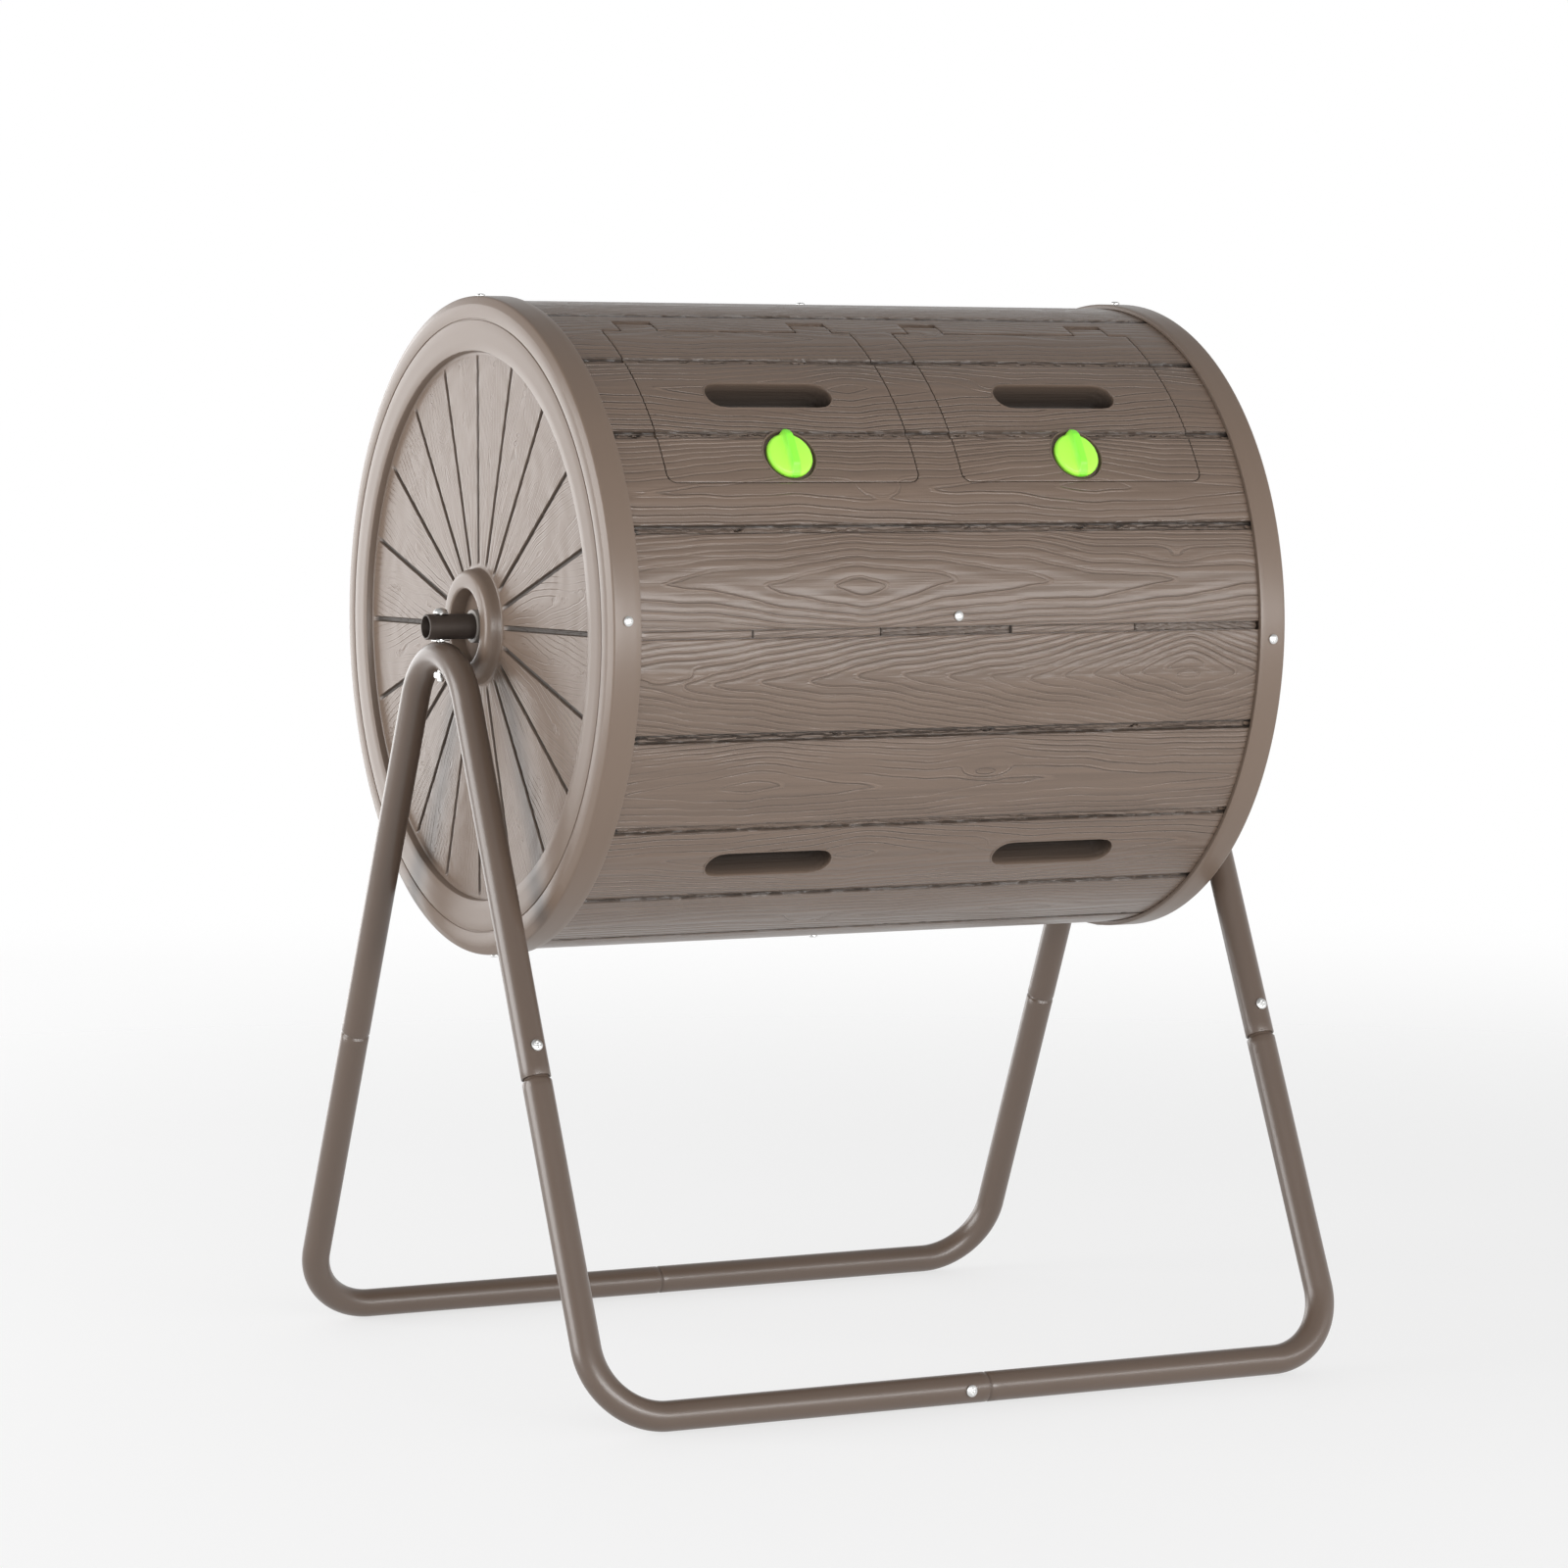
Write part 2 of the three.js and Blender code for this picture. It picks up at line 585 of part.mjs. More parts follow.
// Knob with its spindle, in the local frame of its place on the drum.
function knob(side) {
  const base = SEAT_FLOOR + GAP;
  const body = toSolid(turnedZ([
    [0, CAM_OUTER + GAP],
    [SPINDLE_RADIUS, CAM_OUTER + GAP],
    [SPINDLE_RADIUS, base],
    [KNOB_RADIUS, base],
    [KNOB_RADIUS, base + 5],
    [KNOB_RADIUS - 2.5, base + 7.2],
    [KNOB_RADIUS / 2, base + 8.4],
    [0, base + 8.8],
  ], 24));
  const fin = new THREE.Shape();
  fin.moveTo(-KNOB_RADIUS + 2, base + 5);
  fin.lineTo(KNOB_RADIUS + 3, base + 6.5);
  fin.lineTo(KNOB_RADIUS + 3, base + 10);
  fin.lineTo(KNOB_RADIUS - 4, base + 14);
  fin.lineTo(-KNOB_RADIUS / 2, base + 13);
  fin.closePath();
  const width = 9;
  const ridge = new THREE.ExtrudeGeometry(fin, { depth: width, bevelEnabled: false })
    .translate(0, 0, -width / 2);
  const upright = new THREE.Matrix4().makeBasis(
    new THREE.Vector3(0, 1, 0),
    new THREE.Vector3(0, 0, 1),
    new THREE.Vector3(1, 0, 0),
  );
  const bore = rodZ(1.6 + PASSAGE, CAM_OUTER - 1, base + 2, 8);
  return cut(join(body, [ridge.applyMatrix4(upright)]), [bore]).transform(onDrum(side * KNOB_X, KNOB_ANGLE).elements);
}

// Latch cam, a bar that points along the axle when released and down behind the ledge when turned.
function latchCam(side) {
  const thickness = 4.5;
  const shape = new THREE.Shape();
  shape.absarc(0, 0, 9, Math.PI / 4, 1.75 * Math.PI, false);
  shape.lineTo(CAM_REACH, -5.5);
  shape.lineTo(CAM_REACH, 5.5);
  shape.closePath();
  const bar = new THREE.ExtrudeGeometry(shape, { depth: thickness, bevelEnabled: false, curveSegments: 10 })
    .translate(0, 0, CAM_OUTER - thickness);
  const hole = rodZ(1.6 + PASSAGE, 260, 280, 8);
  return cut(toSolid(bar), [hole]).transform(onDrum(side * KNOB_X, KNOB_ANGLE).elements);
}

// ---------- assembly ----------
const tumbler = new THREE.Group();
const drum = new THREE.Group();
drum.position.z = AXIS_HEIGHT;
tumbler.add(drum);

function place(parent, name, shape, material) {
  const geometry = shape.isBufferGeometry ? shape : toGeometry(shape);
  const mesh = new THREE.Mesh(geometry, material());
  mesh.name = name;
  parent.add(mesh);
  return mesh;
}

const ENDS = [['left', -1], ['right', 1]];
const SIDES = [['front', -1], ['back', 1]];

for (const [endName, end] of ENDS) {
  place(tumbler, `crown_tube_${endName}`, crownTube(end * LEG_X), tubeLook);
  for (const [sideName, side] of SIDES) {
    place(tumbler, `lower_tube_${sideName}_${endName}`, lowerTube(end, side), tubeLook);
    const legScrew = screw(5, 2.8, 2.5, legScrewLength).translate(0, 0, GAP);
    place(tumbler, `leg_screw_${sideName}_${endName}`,
      aimed(legScrew, legScrewPoint(end * LEG_X, side), legOut(side)), zinc);
  }
  const bolt = axleBolt().translate(end * LEG_X, 0, 0);
  place(tumbler, `axle_bolt_${endName}`, bolt, zinc);
  const saddleBottom = crownTop + TUBE_RADIUS + GAP;
  const saddle = ringZ(3 + PASSAGE, 8, saddleBottom, saddleBottom + SADDLE_THICKNESS, 12);
  place(tumbler, `saddle_washer_${endName}`, saddle.translate(end * LEG_X, 0, 0), zinc);
  const nut = ringZ(3 + PASSAGE, 6.4, nutTop - nutHeight, nutTop, 12);
  place(tumbler, `axle_nut_${endName}`, nut.translate(end * LEG_X, 0, 0), zinc);
}
for (const [sideName, side] of SIDES) {
  const railScrew = screw(5, 2.8, 2.5, railScrewLength).translate(0, 0, GAP);
  place(tumbler, `rail_screw_${sideName}`,
    aimed(railScrew, railScrewPoint(side), new THREE.Vector3(0, side, 0)), zinc);
}
place(tumbler, 'axle_tube', axleTube(), axleLook);

for (const [endName, end] of ENDS) {
  place(drum, `end_cap_${endName}`, endCap(end), capLook);
  const bush = place(drum, `axle_bush_${endName}`, axleBush(), bushLook);
  bush.rotation.z = end > 0 ? 0 : Math.PI;
  bandScrewPlaces(end).forEach(({ x, angle }, i) => {
    const shape = screw(4.2, 2.4, 2.1, 12).translate(0, 0, BAND_RADIUS + GAP);
    place(drum, `band_screw_${endName}_${i + 1}`, shape.applyMatrix4(onDrum(x, angle)), zinc);
  });
}
place(drum, 'panel_front_upper', doorPanel(), woodLook);
place(drum, 'panel_back_upper', plainPanel(QUARTER), woodLook);
place(drum, 'panel_back_lower', plainPanel(2 * QUARTER), woodLook);
place(drum, 'panel_front_lower', plainPanel(3 * QUARTER), woodLook);
midScrewPlaces.forEach(({ x, angle }, i) => {
  const shape = screw(4.2, 2.4, 2.1, 11).translate(0, 0, DRUM_RADIUS + GAP);
  place(drum, `mid_screw_${i + 1}`, shape.applyMatrix4(onDrum(x, angle)), zinc);
});
place(drum, 'divider_disc', divider(), innerLook);

for (const [endName, side] of ENDS) {
  place(drum, `door_${endName}`, door(side), woodLook);
  TAB_CENTRES.forEach((centre, i) => {
    place(drum, `hinge_pin_${endName}_${i + 1}`, hingePin(side, centre), zinc);
  });
  place(drum, `knob_${endName}`, knob(side), lime);
  place(drum, `latch_cam_${endName}`, latchCam(side), innerLook);
  const camScrew = screw(3.4, 1.8, 1.6, 9).rotateX(Math.PI).translate(0, 0, CAM_OUTER - 4.5 - GAP);
  place(drum, `cam_screw_${endName}`, camScrew.applyMatrix4(onDrum(side * KNOB_X, KNOB_ANGLE)), zinc);
}

export default tumbler;
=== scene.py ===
"""Looks of a two-chamber compost tumbler, built as an add-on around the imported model.

Lengths in the mesh code are millimetres, the same as on the drawing of the part. Only Form.make turns them
into metres. Drum angles are degrees from the front (-Y) upwards, and "across" is the length along the skin.
"""
import json
import math

import bmesh
import bpy
import numpy as np
from bpy.props import FloatProperty, FloatVectorProperty, IntProperty, PointerProperty
from mathutils import Matrix, Vector
from mathutils.geometry import delaunay_2d_cdt


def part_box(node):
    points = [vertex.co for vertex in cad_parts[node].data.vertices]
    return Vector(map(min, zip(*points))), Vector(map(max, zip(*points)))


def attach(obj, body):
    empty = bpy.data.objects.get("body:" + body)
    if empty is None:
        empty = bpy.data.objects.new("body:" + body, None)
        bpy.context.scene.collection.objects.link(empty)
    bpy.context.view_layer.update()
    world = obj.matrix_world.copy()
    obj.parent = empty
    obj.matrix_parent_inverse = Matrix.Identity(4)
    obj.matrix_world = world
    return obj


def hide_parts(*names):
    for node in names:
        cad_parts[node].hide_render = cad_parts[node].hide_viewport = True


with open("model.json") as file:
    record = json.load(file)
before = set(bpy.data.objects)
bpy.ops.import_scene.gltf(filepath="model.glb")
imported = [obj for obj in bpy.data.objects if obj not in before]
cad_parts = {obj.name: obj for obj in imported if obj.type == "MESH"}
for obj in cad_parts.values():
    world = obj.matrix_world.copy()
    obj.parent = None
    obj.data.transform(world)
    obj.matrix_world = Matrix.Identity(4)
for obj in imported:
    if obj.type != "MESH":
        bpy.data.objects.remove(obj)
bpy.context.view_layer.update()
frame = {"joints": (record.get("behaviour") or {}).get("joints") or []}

bl_info = {
    "name": "Compost tumbler",
    "version": (1, 0, 0),
    "blender": (4, 5, 0),
    "location": "View3D > Sidebar > Tumbler",
    "description": "Builds the drum, doors, knobs and stand of a compost tumbler",
    "category": "Object",
}

JOINTS = {joint["name"]: joint for joint in frame["joints"]}
MM = 0.001
ENDS = (("left", -1), ("right", 1))
SIDES = (("front", -1), ("back", 1))


def low_mm(node):
    return [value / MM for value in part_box(node)[0]]


def high_mm(node):
    return [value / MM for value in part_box(node)[1]]


def middle_mm(node):
    return [(a + b) / 2 for a, b in zip(low_mm(node), high_mm(node))]


# ---------- places that come from the frame ----------
AXIS_Z = JOINTS["drum_spin"]["pos_m"][2] / MM
BAND_R = (high_mm("end_cap_right")[2] - low_mm("end_cap_right")[2]) / 2
SKIN_R = BAND_R - 4
PANEL_END = high_mm("panel_back_upper")[0]
HUB_X = high_mm("end_cap_right")[0]
AXLE_END = high_mm("axle_tube")[0]
AXLE_R = (high_mm("axle_tube")[2] - low_mm("axle_tube")[2]) / 2
LEG_X = middle_mm("axle_bolt_right")[0]
TUBE_R = (high_mm("crown_tube_right")[0] - low_mm("crown_tube_right")[0]) / 2
RAIL_Y = -low_mm("lower_tube_front_left")[1] - TUBE_R
CROWN_TOP = high_mm("crown_tube_right")[2] - TUBE_R
KNOB_X = JOINTS["knob_right_turn"]["pos_m"][0] / MM
KNOB_ANGLE = math.degrees(math.asin(-JOINTS["knob_right_turn"]["axis"][2]))
HINGE = [JOINTS["door_right_hinge"]["pos_m"][1] / MM, JOINTS["door_right_hinge"]["pos_m"][2] / MM - AXIS_Z]
HINGE_ANGLE = math.degrees(math.atan2(HINGE[1], -HINGE[0]))
ARC = SKIN_R * math.pi / 180  # length along the skin for one degree

WALL = 3.5  # moulded wall of panels, doors and caps
INNER_R = SKIN_R - WALL
TONGUE_R = INNER_R - 0.3
PLANK = 18.0  # degrees that one plank takes
STRIP_HALF = 0.78  # half the strip in a joint, in degrees
DOOR_NEAR, DOOR_FAR = 21.5, 256.5
DOOR_LOW, DOOR_TOP = 26.6, 64.3
OPENING_LOW, OPENING_TOP = 26.4, 64.8
SLOT_TOP = 68.78
DOOR_GAP = 1.0  # gap all round a door
TAB_CENTRES = (55.0, 221.5)
TAB_WIDTH = 34.0
TAB_HEEL = 2.4  # how far the lowered top of a tab reaches down
LUG_WIDTH = 9.0
GRIP_X, GRIP_ANGLE = 138.5, 45.0
GRIP_LENGTH, GRIP_WIDTH, GRIP_DEPTH = 118.0, 29.0, 26.0
SEAT_R, SEAT_FLOOR = 24.0, 275.6
CAM_OUTER = 269.8
BAND_START, FACE_X, FIELD_X = 297.5, 325.2, 318.5
RING_R, FACE_R = 236.7, 277.3
HUB_R, RECESS_R = 50.0, 32.0
SCREW_ANGLE = 2.5
# lean of the legs, and the height where crown and lower tubes meet
LEAN = math.tan(math.radians(24.6))
JOINT_Z = 279.0


# ---------- sizes and colours a user would change ----------
class TumblerSizes(bpy.types.PropertyGroup):
    """Relief of the moulded skin."""

    grain_spacing: FloatProperty(
        name="Grain spacing", description="Distance between two lines of the wood grain",
        default=11.5 * MM, unit="LENGTH")
    grain_height: FloatProperty(
        name="Grain height", description="Height of the raised wood grain", default=0.17 * MM, unit="LENGTH")
    groove_width: FloatProperty(
        name="Groove width", description="Width of the groove between two planks", default=7.0 * MM,
        unit="LENGTH")
    groove_depth: FloatProperty(
        name="Groove depth", description="Depth of the groove between two planks", default=2.4 * MM,
        unit="LENGTH")
    skin_step: FloatProperty(
        name="Skin step", description="Mesh step across the planks", default=1.35 * MM, unit="LENGTH")
    wedges: IntProperty(
        name="Wedges", description="Radial planks on each end cap", default=20, min=6)


class TumblerColours(bpy.types.PropertyGroup):
    """Finishes of the pieces."""

    skin: FloatVectorProperty(
        name="Skin", description="Grey-brown of the wood-look panels", subtype="COLOR", size=3,
        default=(0.118, 0.083, 0.062))
    cap: FloatVectorProperty(
        name="End cap", description="Grey-brown of the end caps", subtype="COLOR", size=3,
        default=(0.132, 0.095, 0.072))
    tube: FloatVectorProperty(
        name="Stand", description="Powder coat of the stand", subtype="COLOR", size=3,
        default=(0.086, 0.060, 0.045))
    axle: FloatVectorProperty(
        name="Axle", description="Coated axle tube", subtype="COLOR", size=3, default=(0.045, 0.034, 0.028))
    zinc: FloatVectorProperty(
        name="Zinc", description="Plated screws and bolts", subtype="COLOR", size=3,
        default=(0.72, 0.72, 0.71))
    lime: FloatVectorProperty(
        name="Knob", description="Lime green of the door knobs", subtype="COLOR", size=3,
        default=(0.285, 0.820, 0.042))
    bush: FloatVectorProperty(
        name="Bush", description="Bearing plastic", subtype="COLOR", size=3, default=(0.24, 0.22, 0.20))
    inner: FloatVectorProperty(
        name="Inside", description="Dark plastic inside the drum", subtype="COLOR", size=3,
        default=(0.050, 0.045, 0.040))
    floor: FloatVectorProperty(
        name="Floor", description="Pale studio floor", subtype="COLOR", size=3, default=(0.20, 0.20, 0.20))


class TumblerStage(bpy.types.PropertyGroup):
    """Studio light."""

    key: FloatProperty(
        name="Front light", description="Power of the large soft light at the front", default=98.0,
        unit="POWER")
    gleam: FloatProperty(
        name="Gleam light", description="Power of the low light that draws the gleam along the drum",
        default=30.0, unit="POWER")
    side: FloatProperty(
        name="Left light", description="Power of the soft light that faces the left end", default=102.0,
        unit="POWER")
    room: FloatProperty(
        name="Room", description="Brightness of the white room overhead", default=0.38)
    floor_glow: FloatProperty(
        name="Floor glow", description="Brightness the pale floor has of its own", default=0.67)


# ---------- shader maths ----------
class Value:
    """A shader socket that can be used in sums. Each sum adds its Math node."""

    def __init__(self, recipe, socket):
        self.recipe = recipe
        self.socket = socket

    def math(self, operation, *others):
        inputs = {0: self}
        inputs.update({i + 1: other for i, other in enumerate(others)})
        return self.recipe.add("ShaderNodeMath", {"operation": operation}, inputs)

    def __add__(self, other):
        return self.math("ADD", other)

    def __radd__(self, other):
        return self.math("ADD", other)

    def __sub__(self, other):
        return self.math("SUBTRACT", other)

    def __rsub__(self, other):
        return self.recipe.add("ShaderNodeMath", {"operation": "SUBTRACT"}, {0: other, 1: self})

    def __mul__(self, other):
        return self.math("MULTIPLY", other)

    def __rmul__(self, other):
        return self.math("MULTIPLY", other)

    def __truediv__(self, other):
        return self.math("DIVIDE", other)

    def fract(self):
        return self.math("FRACT")

    def abs(self):
        return self.math("ABSOLUTE")

    def within(self, low, high):
        """0 at `low`, 1 at `high`, with soft ends."""
        settings = {"interpolation_type": "SMOOTHSTEP"}
        return self.recipe.add("ShaderNodeMapRange", settings,
                               {"Value": self, "From Min": low, "From Max": high})


class Recipe:
    """Node tree of one material, or of the room round the studio."""

    def __init__(self, name, owner=None, shader="Principled BSDF", **constants):
        self.material = owner or bpy.data.materials.new(name)
        self.material.use_nodes = True
        self.tree = self.material.node_tree
        self.shader = self.tree.nodes[shader]
        for socket, value in constants.items():
            self.shader.inputs[socket.replace("_", " ")].default_value = value

    def add(self, kind, settings=None, inputs=None, out=0):
        node = self.tree.nodes.new(kind)
        for key, value in (settings or {}).items():
            setattr(node, key, value)
        for key, value in (inputs or {}).items():
            self.feed(node.inputs[key], value)
        return Value(self, node.outputs[out])

    def feed(self, socket, value):
        if isinstance(value, Value):
            self.tree.links.new(value.socket, socket)
        else:
            socket.default_value = value

    def place(self, stretch=(1, 1, 1)):
        """Where the point is on the piece, in metres, times `stretch`."""
        spot = self.add("ShaderNodeTexCoord", out="Object")
        return self.add("ShaderNodeVectorMath", {"operation": "MULTIPLY"}, {0: spot, 1: stretch})

    def noise(self, where, scale, detail=2.0, roughness=0.5, distortion=0.0):
        inputs = {"Vector": where, "Scale": scale, "Detail": detail, "Roughness": roughness,
                  "Distortion": distortion}
        return self.add("ShaderNodeTexNoise", None, inputs)

    def mark(self, name):
        """Number stored on the points of the mesh."""
        return self.add("ShaderNodeAttribute", {"attribute_name": name}, out="Fac")

    def blend(self, a, b, share, mode="MIX"):
        """Colour `a` turning into colour `b`."""
        settings = {"data_type": "RGBA", "blend_type": mode}
        colours = {6: a if isinstance(a, Value) else (*a, 1), 7: b if isinstance(b, Value) else (*b, 1)}
        return self.add("ShaderNodeMix", settings, {0: share, **colours}, out=2)

    def finish(self, colour=None, roughness=None, height=None, depth=0.5 * MM, strength=1.0, metallic=None):
        if colour is not None:
            self.feed(self.shader.inputs["Base Color"], colour)
        if roughness is not None:
            self.feed(self.shader.inputs["Roughness"], roughness)
        if metallic is not None:
            self.feed(self.shader.inputs["Metallic"], metallic)
        if height is not None:
            bump = self.add("ShaderNodeBump", None,
                            {"Strength": strength, "Distance": depth, "Height": height})
            self.feed(self.shader.inputs["Normal"], bump)
        return self.material


def tint(colour, factor):
    return tuple(min(1.0, c * factor) for c in colour)


def grain_lines(recipe, amount, irregular=0.12):
    """Soft embossed lines: a thin dark valley with a light ridge beside it, some of them fading out."""
    fine = recipe.noise(recipe.place((14, 300, 300)), 1.0, 3.0, 0.6)
    broad = recipe.noise(recipe.place((7, 34, 34)), 1.0, 2.0)
    rings = recipe.mark("grain") + irregular * (fine - 0.5) + 0.2 * (broad - 0.5)
    away = (rings.fract() - 0.5) / recipe.mark("slope")
    fade = broad.within(0.36, 0.56) * 0.72 + 0.28
    dark = (1 - away.abs().within(0.15, 0.95)) * fade * amount
    # light marks the lit side of each ridge; the finishes use it for a painted highlight as well as for the
    # bump
    light = (1 - (away - 1.35).abs().within(0.2, 1.3)) * fade * amount
    return fine, dark, light


def skin_material(colours):
    recipe = Recipe("wood_look_skin", IOR=1.47, Coat_Weight=0.25, Coat_Roughness=0.22)
    base = tuple(colours.skin)
    groove = recipe.mark("groove")
    tone = recipe.mark("tone")
    fine, dark, light = grain_lines(recipe, recipe.mark("outside"))
    speck = recipe.noise(recipe.place(), 2600.0, 1.0)
    streak = recipe.noise(recipe.place((4, 150, 150)), 1.0, 3.0, 0.55).within(0.3, 0.7)
    colour = recipe.blend(tint(base, 0.86), tint(base, 1.14), fine * 0.2 + tone * 0.2 + streak * 0.6)
    # the dark grain lines are grain colour with painted shade under the ridges; the light lines next to them
    # are a painted highlight on the ridges
    colour = recipe.blend(colour, tint(base, 0.5), dark * 0.26)
    colour = recipe.blend(colour, tint(base, 1.7), light * 0.20)
    # painted shade from the groove mark: groove walls, grip cups, knob seats, tab steps and joint strips
    colour = recipe.blend(colour, tint(base, 0.10), groove * 0.92)
    rough = 0.27 + 0.07 * fine + 0.08 * dark + 0.25 * groove + 0.03 * speck
    height = light * 0.7 - dark * 0.7 + streak * 0.45 + fine * 0.10 + speck * 0.02
    return recipe.finish(colour, rough, height, 0.75 * MM, 0.95)


def cap_material(colours):
    recipe = Recipe("end_cap_plastic", IOR=1.47)
    base = tuple(colours.cap)
    groove = recipe.mark("groove")
    spot = recipe.place()
    broad = recipe.noise(spot, 14.0, 3.0)
    patch = recipe.noise(spot, 26.0, 2.0)
    grit = recipe.noise(spot, 1900.0, 2.0, 0.6)
    rings = recipe.mark("grain") + 0.3 * (recipe.noise(spot, 70.0, 2.0) - 0.5)
    turn = rings.fract()
    shown = recipe.mark("outside") * (patch.within(0.38, 0.62) * 0.8 + 0.2)
    dark = (1 - (turn - 0.5).abs().within(0.02, 0.13)) * shown
    light = (1 - (turn - 0.7).abs().within(0.02, 0.14)) * shown
    colour = recipe.blend(tint(base, 0.95), tint(base, 1.05), broad * 0.7 + grit * 0.3)
    # the light line beside each dark grain line is a painted highlight on its ridge
    colour = recipe.blend(colour, tint(base, 0.6), dark * 0.24)
    colour = recipe.blend(colour, tint(base, 1.3), light * 0.12)
    # painted shade in the radial grooves between the wedges
    colour = recipe.blend(colour, tint(base, 0.20), groove * 0.92)
    rough = 0.28 + 0.07 * broad + 0.25 * groove + 0.03 * grit
    height = light * 0.45 - dark * 0.55 + grit * 0.04
    return recipe.finish(colour, rough, height, 0.40 * MM, 0.8)


def tube_material(colours):
    recipe = Recipe("powder_coat", IOR=1.5, Coat_Weight=0.2, Coat_Roughness=0.2)
    base = tuple(colours.tube)
    spot = recipe.place()
    broad = recipe.noise(spot, 9.0, 3.0)
    peel = recipe.noise(spot, 900.0, 2.0, 0.6)
    grit = recipe.noise(spot, 3200.0, 1.0)
    colour = recipe.blend(tint(base, 0.92), tint(base, 1.08), broad * 0.6 + grit * 0.4)
    rough = 0.27 + 0.08 * broad + 0.06 * peel
    return recipe.finish(colour, rough, peel * 0.6 + grit * 0.4, 0.10 * MM, 0.6)


def axle_material(colours):
    recipe = Recipe("axle_coat", IOR=1.5)
    base = tuple(colours.axle)
    turned = recipe.noise(recipe.place((900, 30, 30)), 1.0, 2.0)
    broad = recipe.noise(recipe.place(), 25.0, 3.0)
    colour = recipe.blend(tint(base, 0.8), tint(base, 1.5), broad * 0.6 + turned * 0.4)
    rough = 0.38 + 0.16 * broad + 0.08 * turned
    return recipe.finish(colour, rough, turned, 0.05 * MM, 0.5, metallic=0.35)


def zinc_material(colours):
    recipe = Recipe("zinc_plate", IOR=1.5)
    base = tuple(colours.zinc)
    spot = recipe.place()
    spangle = recipe.noise(spot, 380.0, 2.0)
    scratch = recipe.noise(recipe.place((300, 2600, 900)), 1.0, 2.0)
    colour = recipe.blend(tint(base, 0.84), tint(base, 1.12), spangle * 0.6 + scratch * 0.4)
    rough = 0.22 + 0.14 * spangle + 0.10 * scratch
    return recipe.finish(colour, rough, scratch, 0.03 * MM, 0.5, metallic=0.95)


def lime_material(colours):
    recipe = Recipe("lime_plastic", IOR=1.5, Subsurface_Weight=0.0)
    base = tuple(colours.lime)
    ridge = recipe.mark("ridge")
    spot = recipe.place()
    broad = recipe.noise(spot, 70.0, 2.0)
    grit = recipe.noise(spot, 2400.0, 1.0)
    pale = (base[0] * 1.3, min(1.0, base[1] * 1.05), base[2] * 1.6)
    deep = (base[0] * 0.62, base[1] * 0.98, base[2] * 0.8)
    colour = recipe.blend(pale, deep, ridge * 0.7 + broad * 0.15)
    rough = 0.34 + 0.10 * broad + 0.06 * grit
    return recipe.finish(colour, rough, grit * 0.5 + broad * 0.5, 0.05 * MM, 0.5)


def plain_plastic(name, base, rough_from):
    recipe = Recipe(name, IOR=1.48)
    spot = recipe.place()
    broad = recipe.noise(spot, 22.0, 3.0)
    grit = recipe.noise(spot, 1700.0, 2.0, 0.6)
    colour = recipe.blend(tint(base, 0.82), tint(base, 1.2), broad * 0.7 + grit * 0.3)
    return recipe.finish(colour, rough_from + 0.12 * broad + 0.06 * grit, grit, 0.08 * MM, 0.6)


def floor_material(colours, glow):
    """Pale floor that melts into the white room further out."""
    recipe = Recipe("studio_floor", IOR=1.3, Emission_Color=(1, 1, 1, 1), Emission_Strength=glow)
    base = tuple(colours.floor)
    spot = recipe.place()
    broad = recipe.noise(spot, 1.3, 2.0)
    grit = recipe.noise(spot, 220.0, 2.0)
    colour = recipe.blend(tint(base, 0.97), tint(base, 1.03), broad)
    recipe.finish(colour, 0.72 + 0.06 * grit, grit, 0.05 * MM, 0.3)
    reach = recipe.add("ShaderNodeVectorMath", {"operation": "LENGTH"}, {0: spot}, out="Value")
    clear = recipe.add("ShaderNodeBsdfTransparent")
    solid = Value(recipe, recipe.shader.outputs[0])
    mixed = recipe.add("ShaderNodeMixShader", None, {0: reach.within(1.2, 4.5), 1: solid, 2: clear})
    recipe.feed(recipe.tree.nodes["Material Output"].inputs["Surface"], mixed)
    return recipe.material


def room_light(world, level):
    """White all round, dimmer overhead."""
    recipe = Recipe("studio_room", world, "Background", Strength=1.0)
    facing = recipe.add("ShaderNodeTexCoord", out="Generated")
    up = recipe.add("ShaderNodeSeparateXYZ", None, {0: facing}, out="Z")
    shade = up.within(0.16, 0.75)
    recipe.feed(recipe.shader.inputs["Color"], recipe.blend((1, 1, 1), (level, level, level), shade))


MAKERS = {
    "wood_look_skin": skin_material,
    "end_cap": cap_material,
    "stand_tube": tube_material,
    "axle_steel": axle_material,
    "zinc_fastener": zinc_material,
    "lime_knob": lime_material,
    "bush": lambda colours: plain_plastic("bush_plastic", tuple(colours.bush), 0.34),
    "inner_plastic": lambda colours: plain_plastic("inner_plastic", tuple(colours.inner), 0.5),
}
MADE = {}


def finish_for(slot, colours):
    if slot not in MADE:
        MADE[slot] = MAKERS[slot](colours)
    return MADE[slot]


